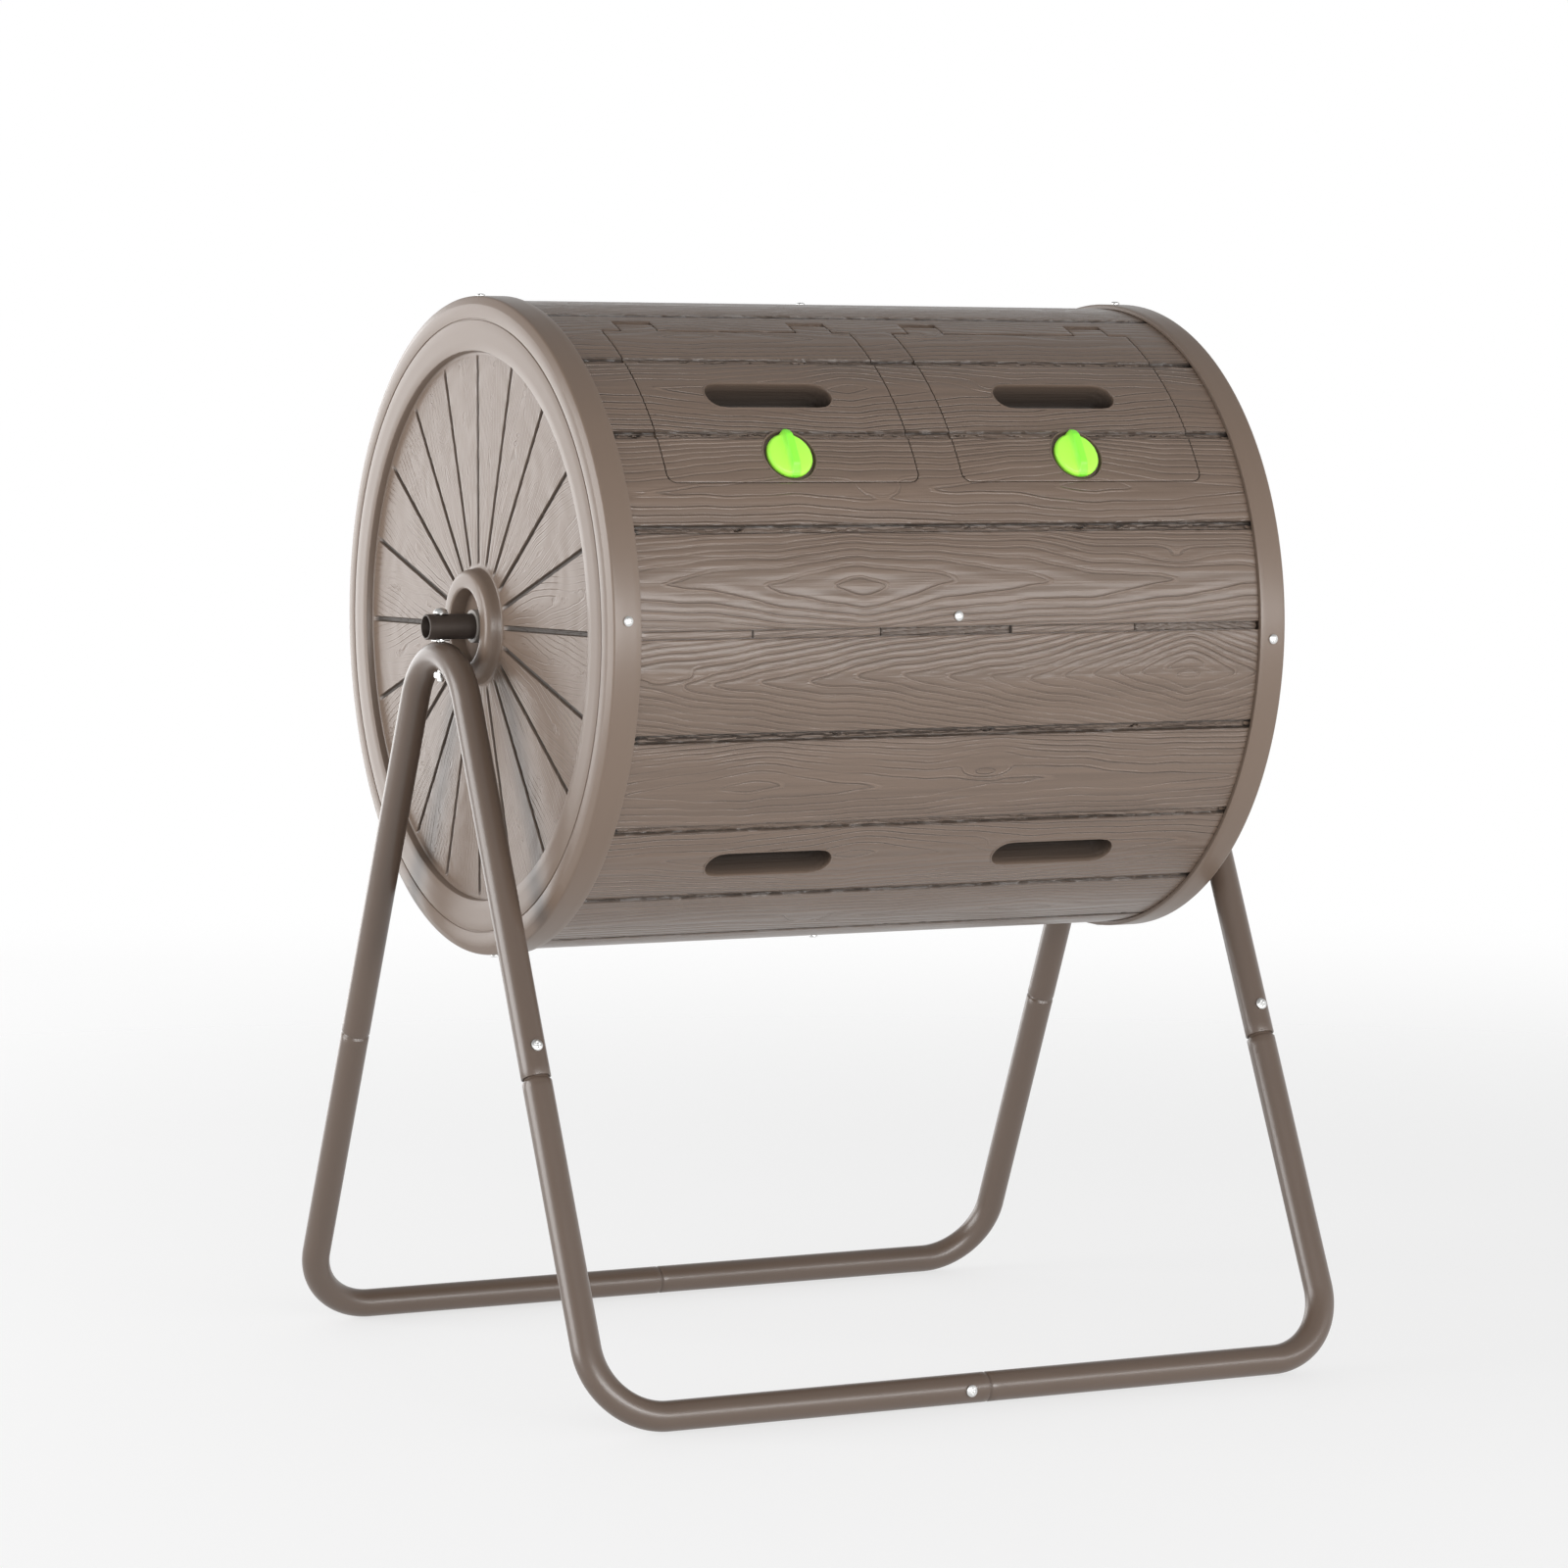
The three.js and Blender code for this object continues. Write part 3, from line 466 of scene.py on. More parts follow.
# ---------- meshes in the making ----------
class Form:
    """Points in millimetres, faces, and numbers stored on the points."""

    def __init__(self):
        self.points = []
        self.faces = []
        self.marks = {}
        self.count = 0

    def add(self, points, faces, **marks):
        points = np.asarray(points, float).reshape(-1, 3)
        for name in set(self.marks) | set(marks):
            if name not in self.marks:
                self.marks[name] = [np.zeros(self.count)]
            value = marks.get(name, 0.0)
            self.marks[name].append(np.broadcast_to(value, len(points)))
        for block in faces:
            block = np.asarray(block, np.int64)
            if block.size:
                self.faces.append(block + self.count)
        self.points.append(points)
        self.count += len(points)
        return self

    def make(self, name, slot, body, replaces, crease=34.0, weld=True):
        points = np.concatenate(self.points) * MM
        mesh = bpy.data.meshes.new(name)
        corners = np.concatenate([block.ravel() for block in self.faces])
        sizes = np.concatenate([np.full(len(block), block.shape[1]) for block in self.faces])
        mesh.vertices.add(len(points))
        mesh.vertices.foreach_set("co", points.ravel())
        mesh.loops.add(len(corners))
        mesh.loops.foreach_set("vertex_index", corners.astype(np.int32))
        mesh.polygons.add(len(sizes))
        mesh.polygons.foreach_set("loop_start", np.concatenate([[0], np.cumsum(sizes)[:-1]]).astype(np.int32))
        mesh.update(calc_edges=True)
        for mark, parts in self.marks.items():
            layer = mesh.attributes.new(mark, "FLOAT", "POINT")
            layer.data.foreach_set("value", np.concatenate(parts).astype(np.float32))
        mesh.validate()
        tidy_mesh(mesh, weld)
        mesh.polygons.foreach_set("use_smooth", np.ones(len(mesh.polygons), bool))
        mesh.set_sharp_from_angle(angle=math.radians(crease))
        piece = bpy.data.objects.new(name, mesh)
        bpy.context.scene.collection.objects.link(piece)
        mesh.materials.append(finish_for(slot, bpy.context.scene.tumbler_colours))
        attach(piece, body)
        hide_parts(*replaces)
        return piece


def tidy_mesh(mesh, weld):
    """Merges points that lie on each other, drops faces with no area, and turns every face outwards."""
    work = bmesh.new()
    work.from_mesh(mesh)
    if weld:
        bmesh.ops.remove_doubles(work, verts=work.verts, dist=2e-6)
        bmesh.ops.dissolve_degenerate(work, dist=1e-7, edges=work.edges)
    bmesh.ops.recalc_face_normals(work, faces=work.faces)
    work.to_mesh(mesh)
    work.free()


def grid_faces(rows, columns, wrap_rows=False, wrap_columns=False, flip=False):
    """Quads of a grid whose point (i, j) is number i * columns + j."""
    i = np.arange(rows if wrap_rows else rows - 1)
    j = np.arange(columns if wrap_columns else columns - 1)
    a, b = np.meshgrid(i, j, indexing="ij")
    a, b = a.ravel(), b.ravel()
    a2, b2 = (a + 1) % rows, (b + 1) % columns
    quads = np.stack([a * columns + b, a * columns + b2, a2 * columns + b2, a2 * columns + b], axis=1)
    return quads[:, ::-1] if flip else quads


def fan_face(ring, flip=False):
    ring = np.asarray(ring)[None, :]
    return ring[:, ::-1] if flip else ring


def turn_points(profile, sides, axis="x"):
    """Points of a solid of revolution from (along, radius) pairs."""
    profile = np.asarray(profile, float)
    around = np.arange(sides) * 2 * np.pi / sides
    along = np.repeat(profile[:, 0], sides)
    radius = np.repeat(profile[:, 1], sides)
    turn = np.tile(around, len(profile))
    if axis == "x":
        return np.stack([along, radius * np.cos(turn), radius * np.sin(turn)], axis=1)
    return np.stack([radius * np.cos(turn), radius * np.sin(turn), along], axis=1)


def turned(form, profile, sides=48, matrix=None, axis="z", closed=False, **marks):
    """Adds a solid of revolution. The profile runs so that the skin faces out on its left-hand side."""
    points = turn_points(profile, sides, axis)
    if matrix is not None:
        points = moved(points, matrix)
    faces = grid_faces(len(profile), sides, wrap_rows=closed, wrap_columns=True, flip=axis == "z")
    if matrix is not None and matrix.determinant() < 0:
        faces = faces[:, ::-1]
    form.add(points, [faces], **marks)
    return form


def moved(points, matrix):
    matrix = np.array(matrix)
    return points @ matrix[:3, :3].T + matrix[:3, 3]


def rounded(profile, radius, steps=4):
    """Rounds the corners of an open (along, radius) profile."""
    profile = [np.array(p, float) for p in profile]
    out = [profile[0]]
    for before, here, after in zip(profile, profile[1:], profile[2:]):
        a, b = before - here, after - here
        la, lb = np.linalg.norm(a), np.linalg.norm(b)
        cut = min(radius, la * 0.45, lb * 0.45)
        start, end = here + a / la * cut, here + b / lb * cut
        for k in range(steps + 1):
            s = k / steps
            out.append((1 - s) ** 2 * start + 2 * s * (1 - s) * here + s * s * end)
    out.append(profile[-1])
    return out


def on_drum(x, degrees):
    """Local Z along the drum's outward normal, local X along the axle, local Y up the skin."""
    a = math.radians(degrees)
    matrix = Matrix((
        (1, 0, 0, x),
        (0, math.sin(a), -math.cos(a), 0),
        (0, math.cos(a), math.sin(a), AXIS_Z),
        (0, 0, 0, 1)))
    return matrix


def aimed(point, direction, up=(0, 0, 1)):
    """Local Z turned to `direction`, at `point`."""
    z = Vector(direction).normalized()
    x = Vector(up).cross(z)
    if x.length < 1e-6:
        x = Vector((1, 0, 0))
    x.normalize()
    y = z.cross(x)
    return Matrix((
        (x[0], y[0], z[0], point[0]),
        (x[1], y[1], z[1], point[1]),
        (x[2], y[2], z[2], point[2]),
        (0, 0, 0, 1)))


def drum_points(x, across, radius):
    """From place on the skin (along the axle, across the planks, distance from the axis) to the row frame."""
    angle = across / ARC * math.pi / 180
    return np.stack([x, -radius * np.cos(angle), AXIS_Z + radius * np.sin(angle)], axis=-1)


# ---------- relief of the wood look ----------
def soft(value, low, high):
    s = np.clip((value - low) / (high - low), 0, 1)
    return s * s * (3 - 2 * s)


def fract(value):
    return value - np.floor(value)


# Hearts of the five planks of a panel: middle along the axle, offset across, how many rings close per
# length of plank near the heart and far from it, and how dense the lines are at the heart and at the edges.
HEARTS = (
    (-91.0, -3.2, 1.05, 0.75, 0.55, 0.50),
    (150.0, -9.0, 0.80, 0.35, 0.80, 0.45),
    (-60.0, 6.0, 1.30, 0.60, 0.90, 0.40),
    (-180.0, -5.0, 0.90, 0.50, 0.85, 0.45),
    (229.0, 4.5, 2.90, 2.20, 1.45, 0.22),
)
# Knots: plank, middle along and across, half length and width, and how many rings they add.
KNOTS = ((4, 229.0, 4.0, 15.0, 5.5, 2.4), (4, -268.0, 8.7, 24.0, 5.5, 1.9), (1, -60.0, -8.0, 26.0, 7.0, 1.4),
         (2, 90.0, 12.0, 26.0, 7.0, 1.5), (3, 42.0, 5.0, 20.0, 6.0, 2.2), (0, 215.0, 16.0, 30.0, 7.0, 1.2))
# Places where neighbouring lines swell sideways round a hidden knot: plank, along, across, length, height.
SWELLS = ((0, 75.0, 30.0, 45.0, 5.0), (3, 50.0, 24.0, 34.0, 6.0), (1, 30.0, -14.0, 60.0, 4.5),
          (2, -150.0, -10.0, 50.0, 4.0), (4, -200.0, -20.0, 40.0, 4.0), (1, -190.0, 15.0, 40.0, 4.0))


def rings_at(x, degrees, spacing):
    """Number of grain rings between a point and the heart of its plank."""
    plank = np.floor(degrees / PLANK)
    kind = np.mod(plank, 5).astype(int)
    local = (degrees - (plank + 0.5) * PLANK) * ARC
    heart = np.array(HEARTS)[kind]
    shift = fract(kind * 0.5698403 + 0.2) * 2 * np.pi
    wave = 2.6 * np.sin(x * 2 * np.pi / 263 + shift) + 1.0 * np.sin(x * 2 * np.pi / 101 + 2.1 * shift)
    wave = wave + 0.35 * np.sin(x * 2 * np.pi / 43 + 3.3 * shift)
    wave = wave * np.clip(1.35 - np.abs(local) / 44, 0.3, 1)
    for owner, sx, st, length, height in SWELLS:
        reach = np.exp(-((x - sx) / length) ** 2 - ((local - st) / 15) ** 2)
        wave = wave + height * reach * (kind == owner)
    side = local - heart[..., 1] - wave
    along = x - heart[..., 0]
    near, far, dense, edge = heart[..., 2], heart[..., 3], heart[..., 4], heart[..., 5]
    reach = near * np.tanh(np.sqrt(along ** 2 + 30) / 110) * 1.1 + far * np.abs(along) / 100
    away = np.sqrt(side ** 2 + 3)
    rings = away / spacing * (dense + edge * away / 22) + reach
    for owner, kx, ky, length, width, strength in KNOTS:
        inside = ((x - kx) / length) ** 2 + ((local - ky) / width) ** 2
        rings = rings + strength * np.exp(-inside) * (kind == owner)
    return rings


def grain_at(x, degrees, spacing):
    """Grain rings, rings per millimetre, and the tone of the plank, for points on the skin."""
    rings = rings_at(x, degrees, spacing)
    along = (rings_at(x + 0.5, degrees, spacing) - rings_at(x - 0.5, degrees, spacing))
    step = 0.3
    half = step / ARC / 2
    across = (rings_at(x, degrees + half, spacing) - rings_at(x, degrees - half, spacing)) / step
    slope = np.clip(np.hypot(along, across), 0.03, 0.6)
    return rings, slope, fract(np.floor(degrees / PLANK) * 0.618034 + 0.31)


def wobble(x, seed):
    return (0.45 * np.sin(x * 2 * np.pi / 41 + seed * 2.7) + 0.3 * np.sin(x * 2 * np.pi / 17.3 + seed * 1.3)
            + 0.2 * np.sin(x * 2 * np.pi / 9.1 + seed * 4.1))


def box_distance(x, t, x0, x1, t0, t1, round_low=0.0, round_high=0.0):
    """Distance to a rectangle on the skin, below zero inside. Its two ends can have different corners."""
    cx, ct = (x0 + x1) / 2, (t0 + t1) / 2
    corner = np.where(t < ct, round_low, round_high)
    qx = np.abs(x - cx) - (x1 - x0) / 2 + corner
    qt = np.abs(t - ct) - (t1 - t0) / 2 + corner
    outside = np.hypot(np.maximum(qx, 0), np.maximum(qt, 0))
    return outside + np.minimum(np.maximum(qx, qt), 0) - corner


def slot_distance(x, t, cx, ct, length, width):
    half = (length - width) / 2
    return np.hypot(np.maximum(np.abs(x - cx) - half, 0), t - ct) - width / 2


def stops(low, high, step, marks=()):
    """Grid lines from low to high, no further apart than `step`, with a line on each mark."""
    fixed = sorted({low, high, *[m for m in marks if low < m < high]})
    merged = [fixed[0]]
    for value in fixed[1:]:
        if value - merged[-1] > 0.25:
            merged.append(value)
    merged[-1] = high
    lines = []
    for a, b in zip(merged, merged[1:]):
        parts = max(1, math.ceil((b - a) / step - 1e-9))
        lines.extend(a + (b - a) * k / parts for k in range(parts))
    return np.array([*lines, high])


def skin_relief(x, t, sizes, shallow=0.0):
    """Depth below the skin radius and the numbers the finish needs, for points on the planks."""
    degrees = t / ARC
    rings, slope, tone = grain_at(x, degrees, sizes.grain_spacing / MM)
    number = np.round(degrees / PLANK)
    joint = np.mod(number, 5) == 0
    off = np.abs(t - number * PLANK * ARC)
    half = sizes.groove_width / MM / 2
    groove = (1 - soft(off, half - 0.35, half + 0.35)) * ~joint
    depth = groove * sizes.groove_depth / MM * (1 - shallow)
    signed = (t - number * PLANK * ARC) * np.where(number < 0, -1.0, 1.0)
    # thin and thick mask painted shade along the groove walls; thick is a wider painted shadow on the edge
    # away from the front
    thin = np.exp(-((off - half + 0.25) / 0.75) ** 2)
    thick = np.exp(-((signed - half + 0.75) / 1.25) ** 4)
    walls = np.maximum(thin, thick) * ~joint * (1 - 0.5 * shallow)
    notch = groove * soft(np.abs(x), 291.0, 292.0) * (1 - shallow)
    depth = depth + 0.9 * notch
    ripple = 0.22 * np.sin(x * 2 * np.pi / 29 + (t - number * PLANK * ARC) * 1.1 + 2 * np.sin(x / 43))
    depth = depth + groove * (0.22 + ripple)
    lift = sizes.grain_height / MM * np.cos(2 * np.pi * rings) * (1 - groove)
    # painted shade: a little on the groove floor, more on the walls, and the notch where the groove runs
    # under the band
    dark = np.clip(0.12 * groove + 0.85 * walls + 0.9 * notch, 0, 1)
    return depth - lift, {"grain": rings, "slope": slope, "groove": dark, "tone": tone}


def warp(x, t, reach=8.0):
    """Moves grid lines near a groove sideways, so that they follow its wavy edges."""
    number = np.round(t / ARC / PLANK)
    off = t - number * PLANK * ARC
    near = np.clip(1 - np.abs(off) / reach, 0, 1)
    joint = np.mod(number, 5) == 0
    return t + wobble(x, number * 1.7 + np.sign(off)) * near * ~joint


def shell(form, x_lines, t_lines, outline, relief, inner_radius, inner_step=11.0, bend=warp):
    """Closed piece of the skin: a fine outer face with relief, a plain inner face, and the edges between.

    `outline` gives the distance to the edge, below zero on the material. Points next to the edge
    slide onto it.
    """
    x, t = np.meshgrid(x_lines, t_lines, indexing="ij")
    if bend is not None:
        t = bend(x, t)
    rows, columns = x.shape
    x, t = x.ravel(), t.ravel()
    index = np.arange(rows * columns).reshape(rows, columns)
    even = (np.add.outer(np.arange(rows - 1), np.arange(columns - 1)) % 2 == 0).ravel()
    a, b = index[:-1, :-1].ravel(), index[1:, :-1].ravel()
    c, d = index[1:, 1:].ravel(), index[:-1, 1:].ravel()
    first = np.where(even[:, None], np.stack([a, b, c], 1), np.stack([a, b, d], 1))
    second = np.where(even[:, None], np.stack([a, c, d], 1), np.stack([b, c, d], 1))
    triangles = np.concatenate([first, second])
    tolerance = 1e-5
    distance = outline(x, t)
    edges = np.concatenate([triangles[:, [0, 1]], triangles[:, [1, 2]], triangles[:, [2, 0]]])
    da, db = distance[edges[:, 0]], distance[edges[:, 1]]
    crossing = ((da < -tolerance) & (db > tolerance)) | ((da > tolerance) & (db < -tolerance))
    edges, da, db = edges[crossing], da[crossing], db[crossing]
    nearer = np.unique(np.where(np.abs(da) <= np.abs(db), edges[:, 0], edges[:, 1]))
    for _ in range(3):
        px, pt = x[nearer], t[nearer]
        value = outline(px, pt)
        gx = (outline(px + 0.02, pt) - outline(px - 0.02, pt)) / 0.04
        gt = (outline(px, pt + 0.02) - outline(px, pt - 0.02)) / 0.04
        size = np.maximum(gx ** 2 + gt ** 2, 0.25)
        x[nearer] = px - value * gx / size
        t[nearer] = pt - value * gt / size
    distance = outline(x, t)
    distance[nearer] = 0.0
    corner_values = distance[triangles]
    middle = outline(x[triangles].mean(1), t[triangles].mean(1))
    keep = (corner_values.max(1) < 0.02) & (middle < 0)
    triangles = triangles[keep]
    area = ((x[triangles[:, 1]] - x[triangles[:, 0]]) * (t[triangles[:, 2]] - t[triangles[:, 0]])
            - (x[triangles[:, 2]] - x[triangles[:, 0]]) * (t[triangles[:, 1]] - t[triangles[:, 0]]))
    triangles = triangles[np.abs(area) > 1e-4]
    area = area[np.abs(area) > 1e-4]
    triangles[area < 0] = triangles[area < 0][:, ::-1]
    used = np.unique(triangles)
    renumber = np.full(rows * columns, -1)
    renumber[used] = np.arange(len(used))
    triangles = renumber[triangles]
    x, t = x[used], t[used]
    depth, marks = relief(x, t)
    edge = np.clip(-outline(x, t) / 1.1, 0, 1)
    depth = depth + 0.4 * (1 - edge) ** 2
    outer = drum_points(x, t, SKIN_R - depth)
    form.add(outer, [triangles], outside=1.0, **marks)
    # edges of the outer face
    sides = np.concatenate([triangles[:, [0, 1]], triangles[:, [1, 2]], triangles[:, [2, 0]]])
    keys = {tuple(pair) for pair in sides.tolist()}
    rim = np.array([pair for pair in sides.tolist() if (pair[1], pair[0]) not in keys])
    rim_points = np.unique(rim)
    # inner face: the same edges, filled with coarse triangles
    bx, bt = x[rim_points], t[rim_points]
    gx, gt = np.meshgrid(np.arange(x.min() + 5, x.max() - 4, inner_step),
                         np.arange(t.min() + 5, t.max() - 4, inner_step), indexing="ij")
    gx, gt = gx.ravel(), gt.ravel()
    inside = outline(gx, gt) < -4
    plane_x = np.concatenate([bx, gx[inside]])
    plane_t = np.concatenate([bt, gt[inside]])
    position = {int(p): k for k, p in enumerate(rim_points)}
    fixed_edges = [(position[int(p)], position[int(q)]) for p, q in rim]
    flat = [Vector((px, pt)) for px, pt in zip(plane_x.tolist(), plane_t.tolist())]
    verts, _, faces, originals, _, _ = delaunay_2d_cdt(flat, fixed_edges, [], 0, 1e-7)
    out_x = np.array([v[0] for v in verts])
    out_t = np.array([v[1] for v in verts])
    inner_faces = np.array([f for f in faces if len(f) == 3])
    keep = outline(out_x[inner_faces].mean(1), out_t[inner_faces].mean(1)) < 0
    inner_faces = inner_faces[keep][:, ::-1]
    start = form.count
    form.add(drum_points(out_x, out_t, inner_radius), [inner_faces], grain=0.0, groove=0.0, tone=0.5,
             outside=0.0)
    # walls
    slot_of = {}
    for k, sources in enumerate(originals):
        for source in sources:
            slot_of[source] = k
    outer_start = start - len(outer)
    walls = np.array([
        (outer_start + q, outer_start + p, start + slot_of[position[p]], start + slot_of[position[q]])
        for p, q in rim.tolist()])
    form.add(np.zeros((0, 3)), [walls - form.count])
    return form


def plate(form, loops, outer_radius, inner_radius, step=9.0, **marks):
    """Closed plate that follows the drum, from outlines of (along, across) points.

    The first outline is the outside and the others are holes.
    """
    points, edges = [], []
    for loop in loops:
        start = len(points)
        dense = []
        for (x0, t0), (x1, t1) in zip(loop, loop[1:] + loop[:1]):
            parts = max(1, math.ceil(math.hypot(x1 - x0, t1 - t0) / step))
            dense += [(x0 + (x1 - x0) * k / parts, t0 + (t1 - t0) * k / parts) for k in range(parts)]
        points += dense
        edges += [(start + k, start + (k + 1) % len(dense)) for k in range(len(dense))]
    sample = np.array(points)
    low, high = sample.min(0), sample.max(0)

    def inside(px, pt):
        hit = False
        for loop in loops:
            for (x0, t0), (x1, t1) in zip(loop, loop[1:] + loop[:1]):
                if (t0 > pt) != (t1 > pt) and px < (x1 - x0) * (pt - t0) / (t1 - t0) + x0:
                    hit = not hit
        return hit

    for px in np.arange(low[0] + step / 2, high[0], step):
        for pt in np.arange(low[1] + step / 2, high[1], step):
            gap = np.abs(sample - (px, pt)).max(1).min()
            if gap > step * 0.4 and inside(px, pt):
                points.append((px, pt))
    flat = [Vector(p) for p in points]
    verts, _, faces, originals, _, _ = delaunay_2d_cdt(flat, edges, [], 0, 1e-7)
    x = np.array([v[0] for v in verts])
    t = np.array([v[1] for v in verts])
    triangles = [f for f in faces if len(f) == 3 and inside(float(np.mean(x[list(f)])),
                                                            float(np.mean(t[list(f)])))]
    triangles = np.array(triangles)
    top = drum_points(x, t, outer_radius)
    bottom = drum_points(x, t, inner_radius)
    slot_of = {source: k for k, sources in enumerate(originals) for source in sources}
    count = len(x)
    rim = {tuple(sorted((slot_of[a], slot_of[b]))) for a, b in edges}
    walls = []
    for tri in triangles.tolist():
        for a, b in ((tri[0], tri[1]), (tri[1], tri[2]), (tri[2], tri[0])):
            if tuple(sorted((a, b))) in rim:
                walls.append((b, a, count + a, count + b))
    form.add(np.concatenate([top, bottom]), [triangles, triangles[:, ::-1] + count, np.array(walls)],
             grain=0.0, groove=marks.get("groove", 0.0), tone=0.5, outside=marks.get("outside", 0.0))
    return form


def rectangle(x0, x1, t0, t1):
    return [(x0, t0), (x1, t0), (x1, t1), (x0, t1)]


def mirrored(side, near, far):
    return (near, far) if side > 0 else (-far, -near)


def cup_ring(length, width, inset, points=96):
    """Stadium-shaped ring; an inset beyond half the width closes it to a line."""
    radius = max(width / 2 - inset, 0.02)
    half = (length - width) / 2
    turn = (np.arange(points) + 0.5) * 2 * np.pi / points
    x = radius * np.cos(turn) + np.sign(np.cos(turn)) * half
    # spread the points of the straight sides
    straight = np.abs(np.cos(turn)) < 0.55
    x = np.where(straight, np.cos(turn) / 0.55 * half, radius * np.sign(np.cos(turn)) * np.sqrt(
        np.clip(1 - ((1 - np.abs(np.cos(turn))) / 0.45) ** 2, 0, 1)) + np.sign(np.cos(turn)) * half)
    y = np.where(straight, np.sign(np.sin(turn)) * radius, np.sign(np.sin(turn)) * radius * (
        1 - np.abs(np.cos(turn))) / 0.45)
    return x, y


def grip_cup(form, x, degrees):
    """Finger grip: a deep cup with a raised lip, ribs on its floor and a wall of its own."""
    steps = [(-1.7, -0.55), (-1.45, 0.15), (-0.9, 0.42), (-0.2, 0.3), (0.1, -0.4), (0.25, -3), (0.6, -8),
             (1.0, -14), (1.5, -19), (2.2, -22.6), (3.4, -24.8), (5.0, -25.7)]
    steps += [(inset, -GRIP_DEPTH) for inset in (6.6, 8.2, 9.8, 11.4, 13.0, 14.45)]
    under = -GRIP_DEPTH - WALL
    back = [(14.45, under), (9.0, under), (3.0, under + 0.4), (-0.6, -25.0), (-2.2, -22.0),
            (-3.0, -15.0), (-3.4, -6.0), (-3.4, -WALL)]
    loops = []
    depths = []
    for inset, drop in steps + back:
        rx, ry = cup_ring(GRIP_LENGTH, GRIP_WIDTH, inset)
        rise = np.full_like(rx, drop)
        if inset > 4 and (inset, drop) in steps:
            rise = rise + 0.9 * np.cos(ry * 2 * np.pi / 7.2) * min(1, (inset - 4) / 2)
        loops.append((rx, ry))
        depths.append(rise)
    px = np.concatenate([loop[0] for loop in loops]) + x
    pt = np.concatenate([loop[1] for loop in loops]) + degrees * ARC
    radius = SKIN_R + np.concatenate(depths)
    count = len(loops[0][0])
    # painted shade: the cup's colour darkens with depth, carried in the groove mark
    shade = np.repeat([0.0] * 5 + [0.45, 0.75, 0.85] + [0.95] * (len(steps) - 8) + [0.0] * len(back), count)
    faces = grid_faces(len(loops), count, wrap_rows=True, wrap_columns=True)
    form.add(drum_points(px, pt, radius), [faces], grain=0.0, slope=0.3, groove=shade, tone=0.4, outside=0.0)
    return form


def panel_strip(form, joint_degrees, sizes):
    """Tongue under the next panel, with the strip that fills the joint."""
    end = 296.0
    centre = joint_degrees * ARC
    reach_low, reach_high = -4.0 * ARC, 5.0 * ARC
    plate(form, [rectangle(-end, end, centre + reach_low, centre + reach_high)], TONGUE_R, TONGUE_R - WALL,
          10.0)
    half = STRIP_HALF * ARC - 0.55
    ticks = (-194.0, -74.0, 51.0, 173.0)
    sunk = ((-74.0, 51.0), (173.0, 400.0))

    def outline(x, t):
        return box_distance(x, t, -end, end, centre - half, centre + half)

    def relief(x, t):
        beside = np.full_like(x, joint_degrees - 1.0)
        rings, _, tone = grain_at(x, beside, sizes.grain_spacing / MM)
        low = np.zeros_like(x)
        for x0, x1 in sunk:
            low = np.maximum(low, soft(x, x0 - 0.4, x0 + 0.4) * (1 - soft(x, x1 - 0.4, x1 + 0.4)))
        tick = np.zeros_like(x)
        for place in ticks:
            tick = np.maximum(tick, np.exp(-((x - place) / 0.9) ** 2))
        rough = 0.25 * np.sin(x * 2 * np.pi / 11 + (t - centre))
        rough = rough + 0.2 * np.sin(x * 2 * np.pi / 5.3 - (t - centre))
        depth = 0.15 + low * (1.7 + rough) + 1.3 * tick
        # painted shade in the sunk segments and along the strip's two edges; the dark ticks mark the cuts
        # between segments
        dark = np.clip(low * 0.35 + tick + 0.5 * soft(np.abs(t - centre), half - 0.8, half), 0, 1)
        return depth, {"grain": rings + (t - centre) / 4, "slope": 0.25, "groove": dark, "tone": tone}

    marks = [place + side for place in ticks for side in (-1.2, -0.5, 0.0, 0.5, 1.2)]
    x_lines = stops(-end, end, 3.2, marks)
    t_lines = stops(centre - half, centre + half, 1.1)
    shell(form, x_lines, t_lines, outline, relief, TONGUE_R - 0.6, inner_step=40.0, bend=None)
    return form


def rim_block(form, joint_degrees):
    """Web that carries the tongue from the edge of its panel."""
    end = 296.0
    t0, t1 = (joint_degrees - 4.0) * ARC, (joint_degrees - 1.6) * ARC
    plate(form, [rectangle(-end, end, t0, t1)], SKIN_R - 1.6, TONGUE_R - 1.0, 12.0)
    return form


def groove_marks(low, high, half):
    first = math.ceil(low / PLANK)
    last = math.floor(high / PLANK)
    out = []
    for k in range(first, last + 1):
        if k % 5 == 0:
            continue
        out += [k * PLANK * ARC + s * d for s in (-1, 1) for d in (half + 0.5, half - 0.1, half - 0.9)]
        out.append(k * PLANK * ARC)
    return out


def opening_distance(x, t, side):
    """The hole in the front panel that a door closes, with the two slots for its hinge tabs."""
    x0, x1 = mirrored(side, DOOR_NEAR - DOOR_GAP, DOOR_FAR + DOOR_GAP)
    hole = box_distance(x, t, x0, x1, OPENING_LOW * ARC, OPENING_TOP * ARC, 9.0, 2.0)
    for centre in TAB_CENTRES:
        half = TAB_WIDTH / 2 + DOOR_GAP
        s0, s1 = mirrored(side, centre - half, centre + half)
        hole = np.minimum(hole, box_distance(x, t, s0, s1, (OPENING_TOP - 2) * ARC, SLOT_TOP * ARC, 0, 0.8))
    return hole


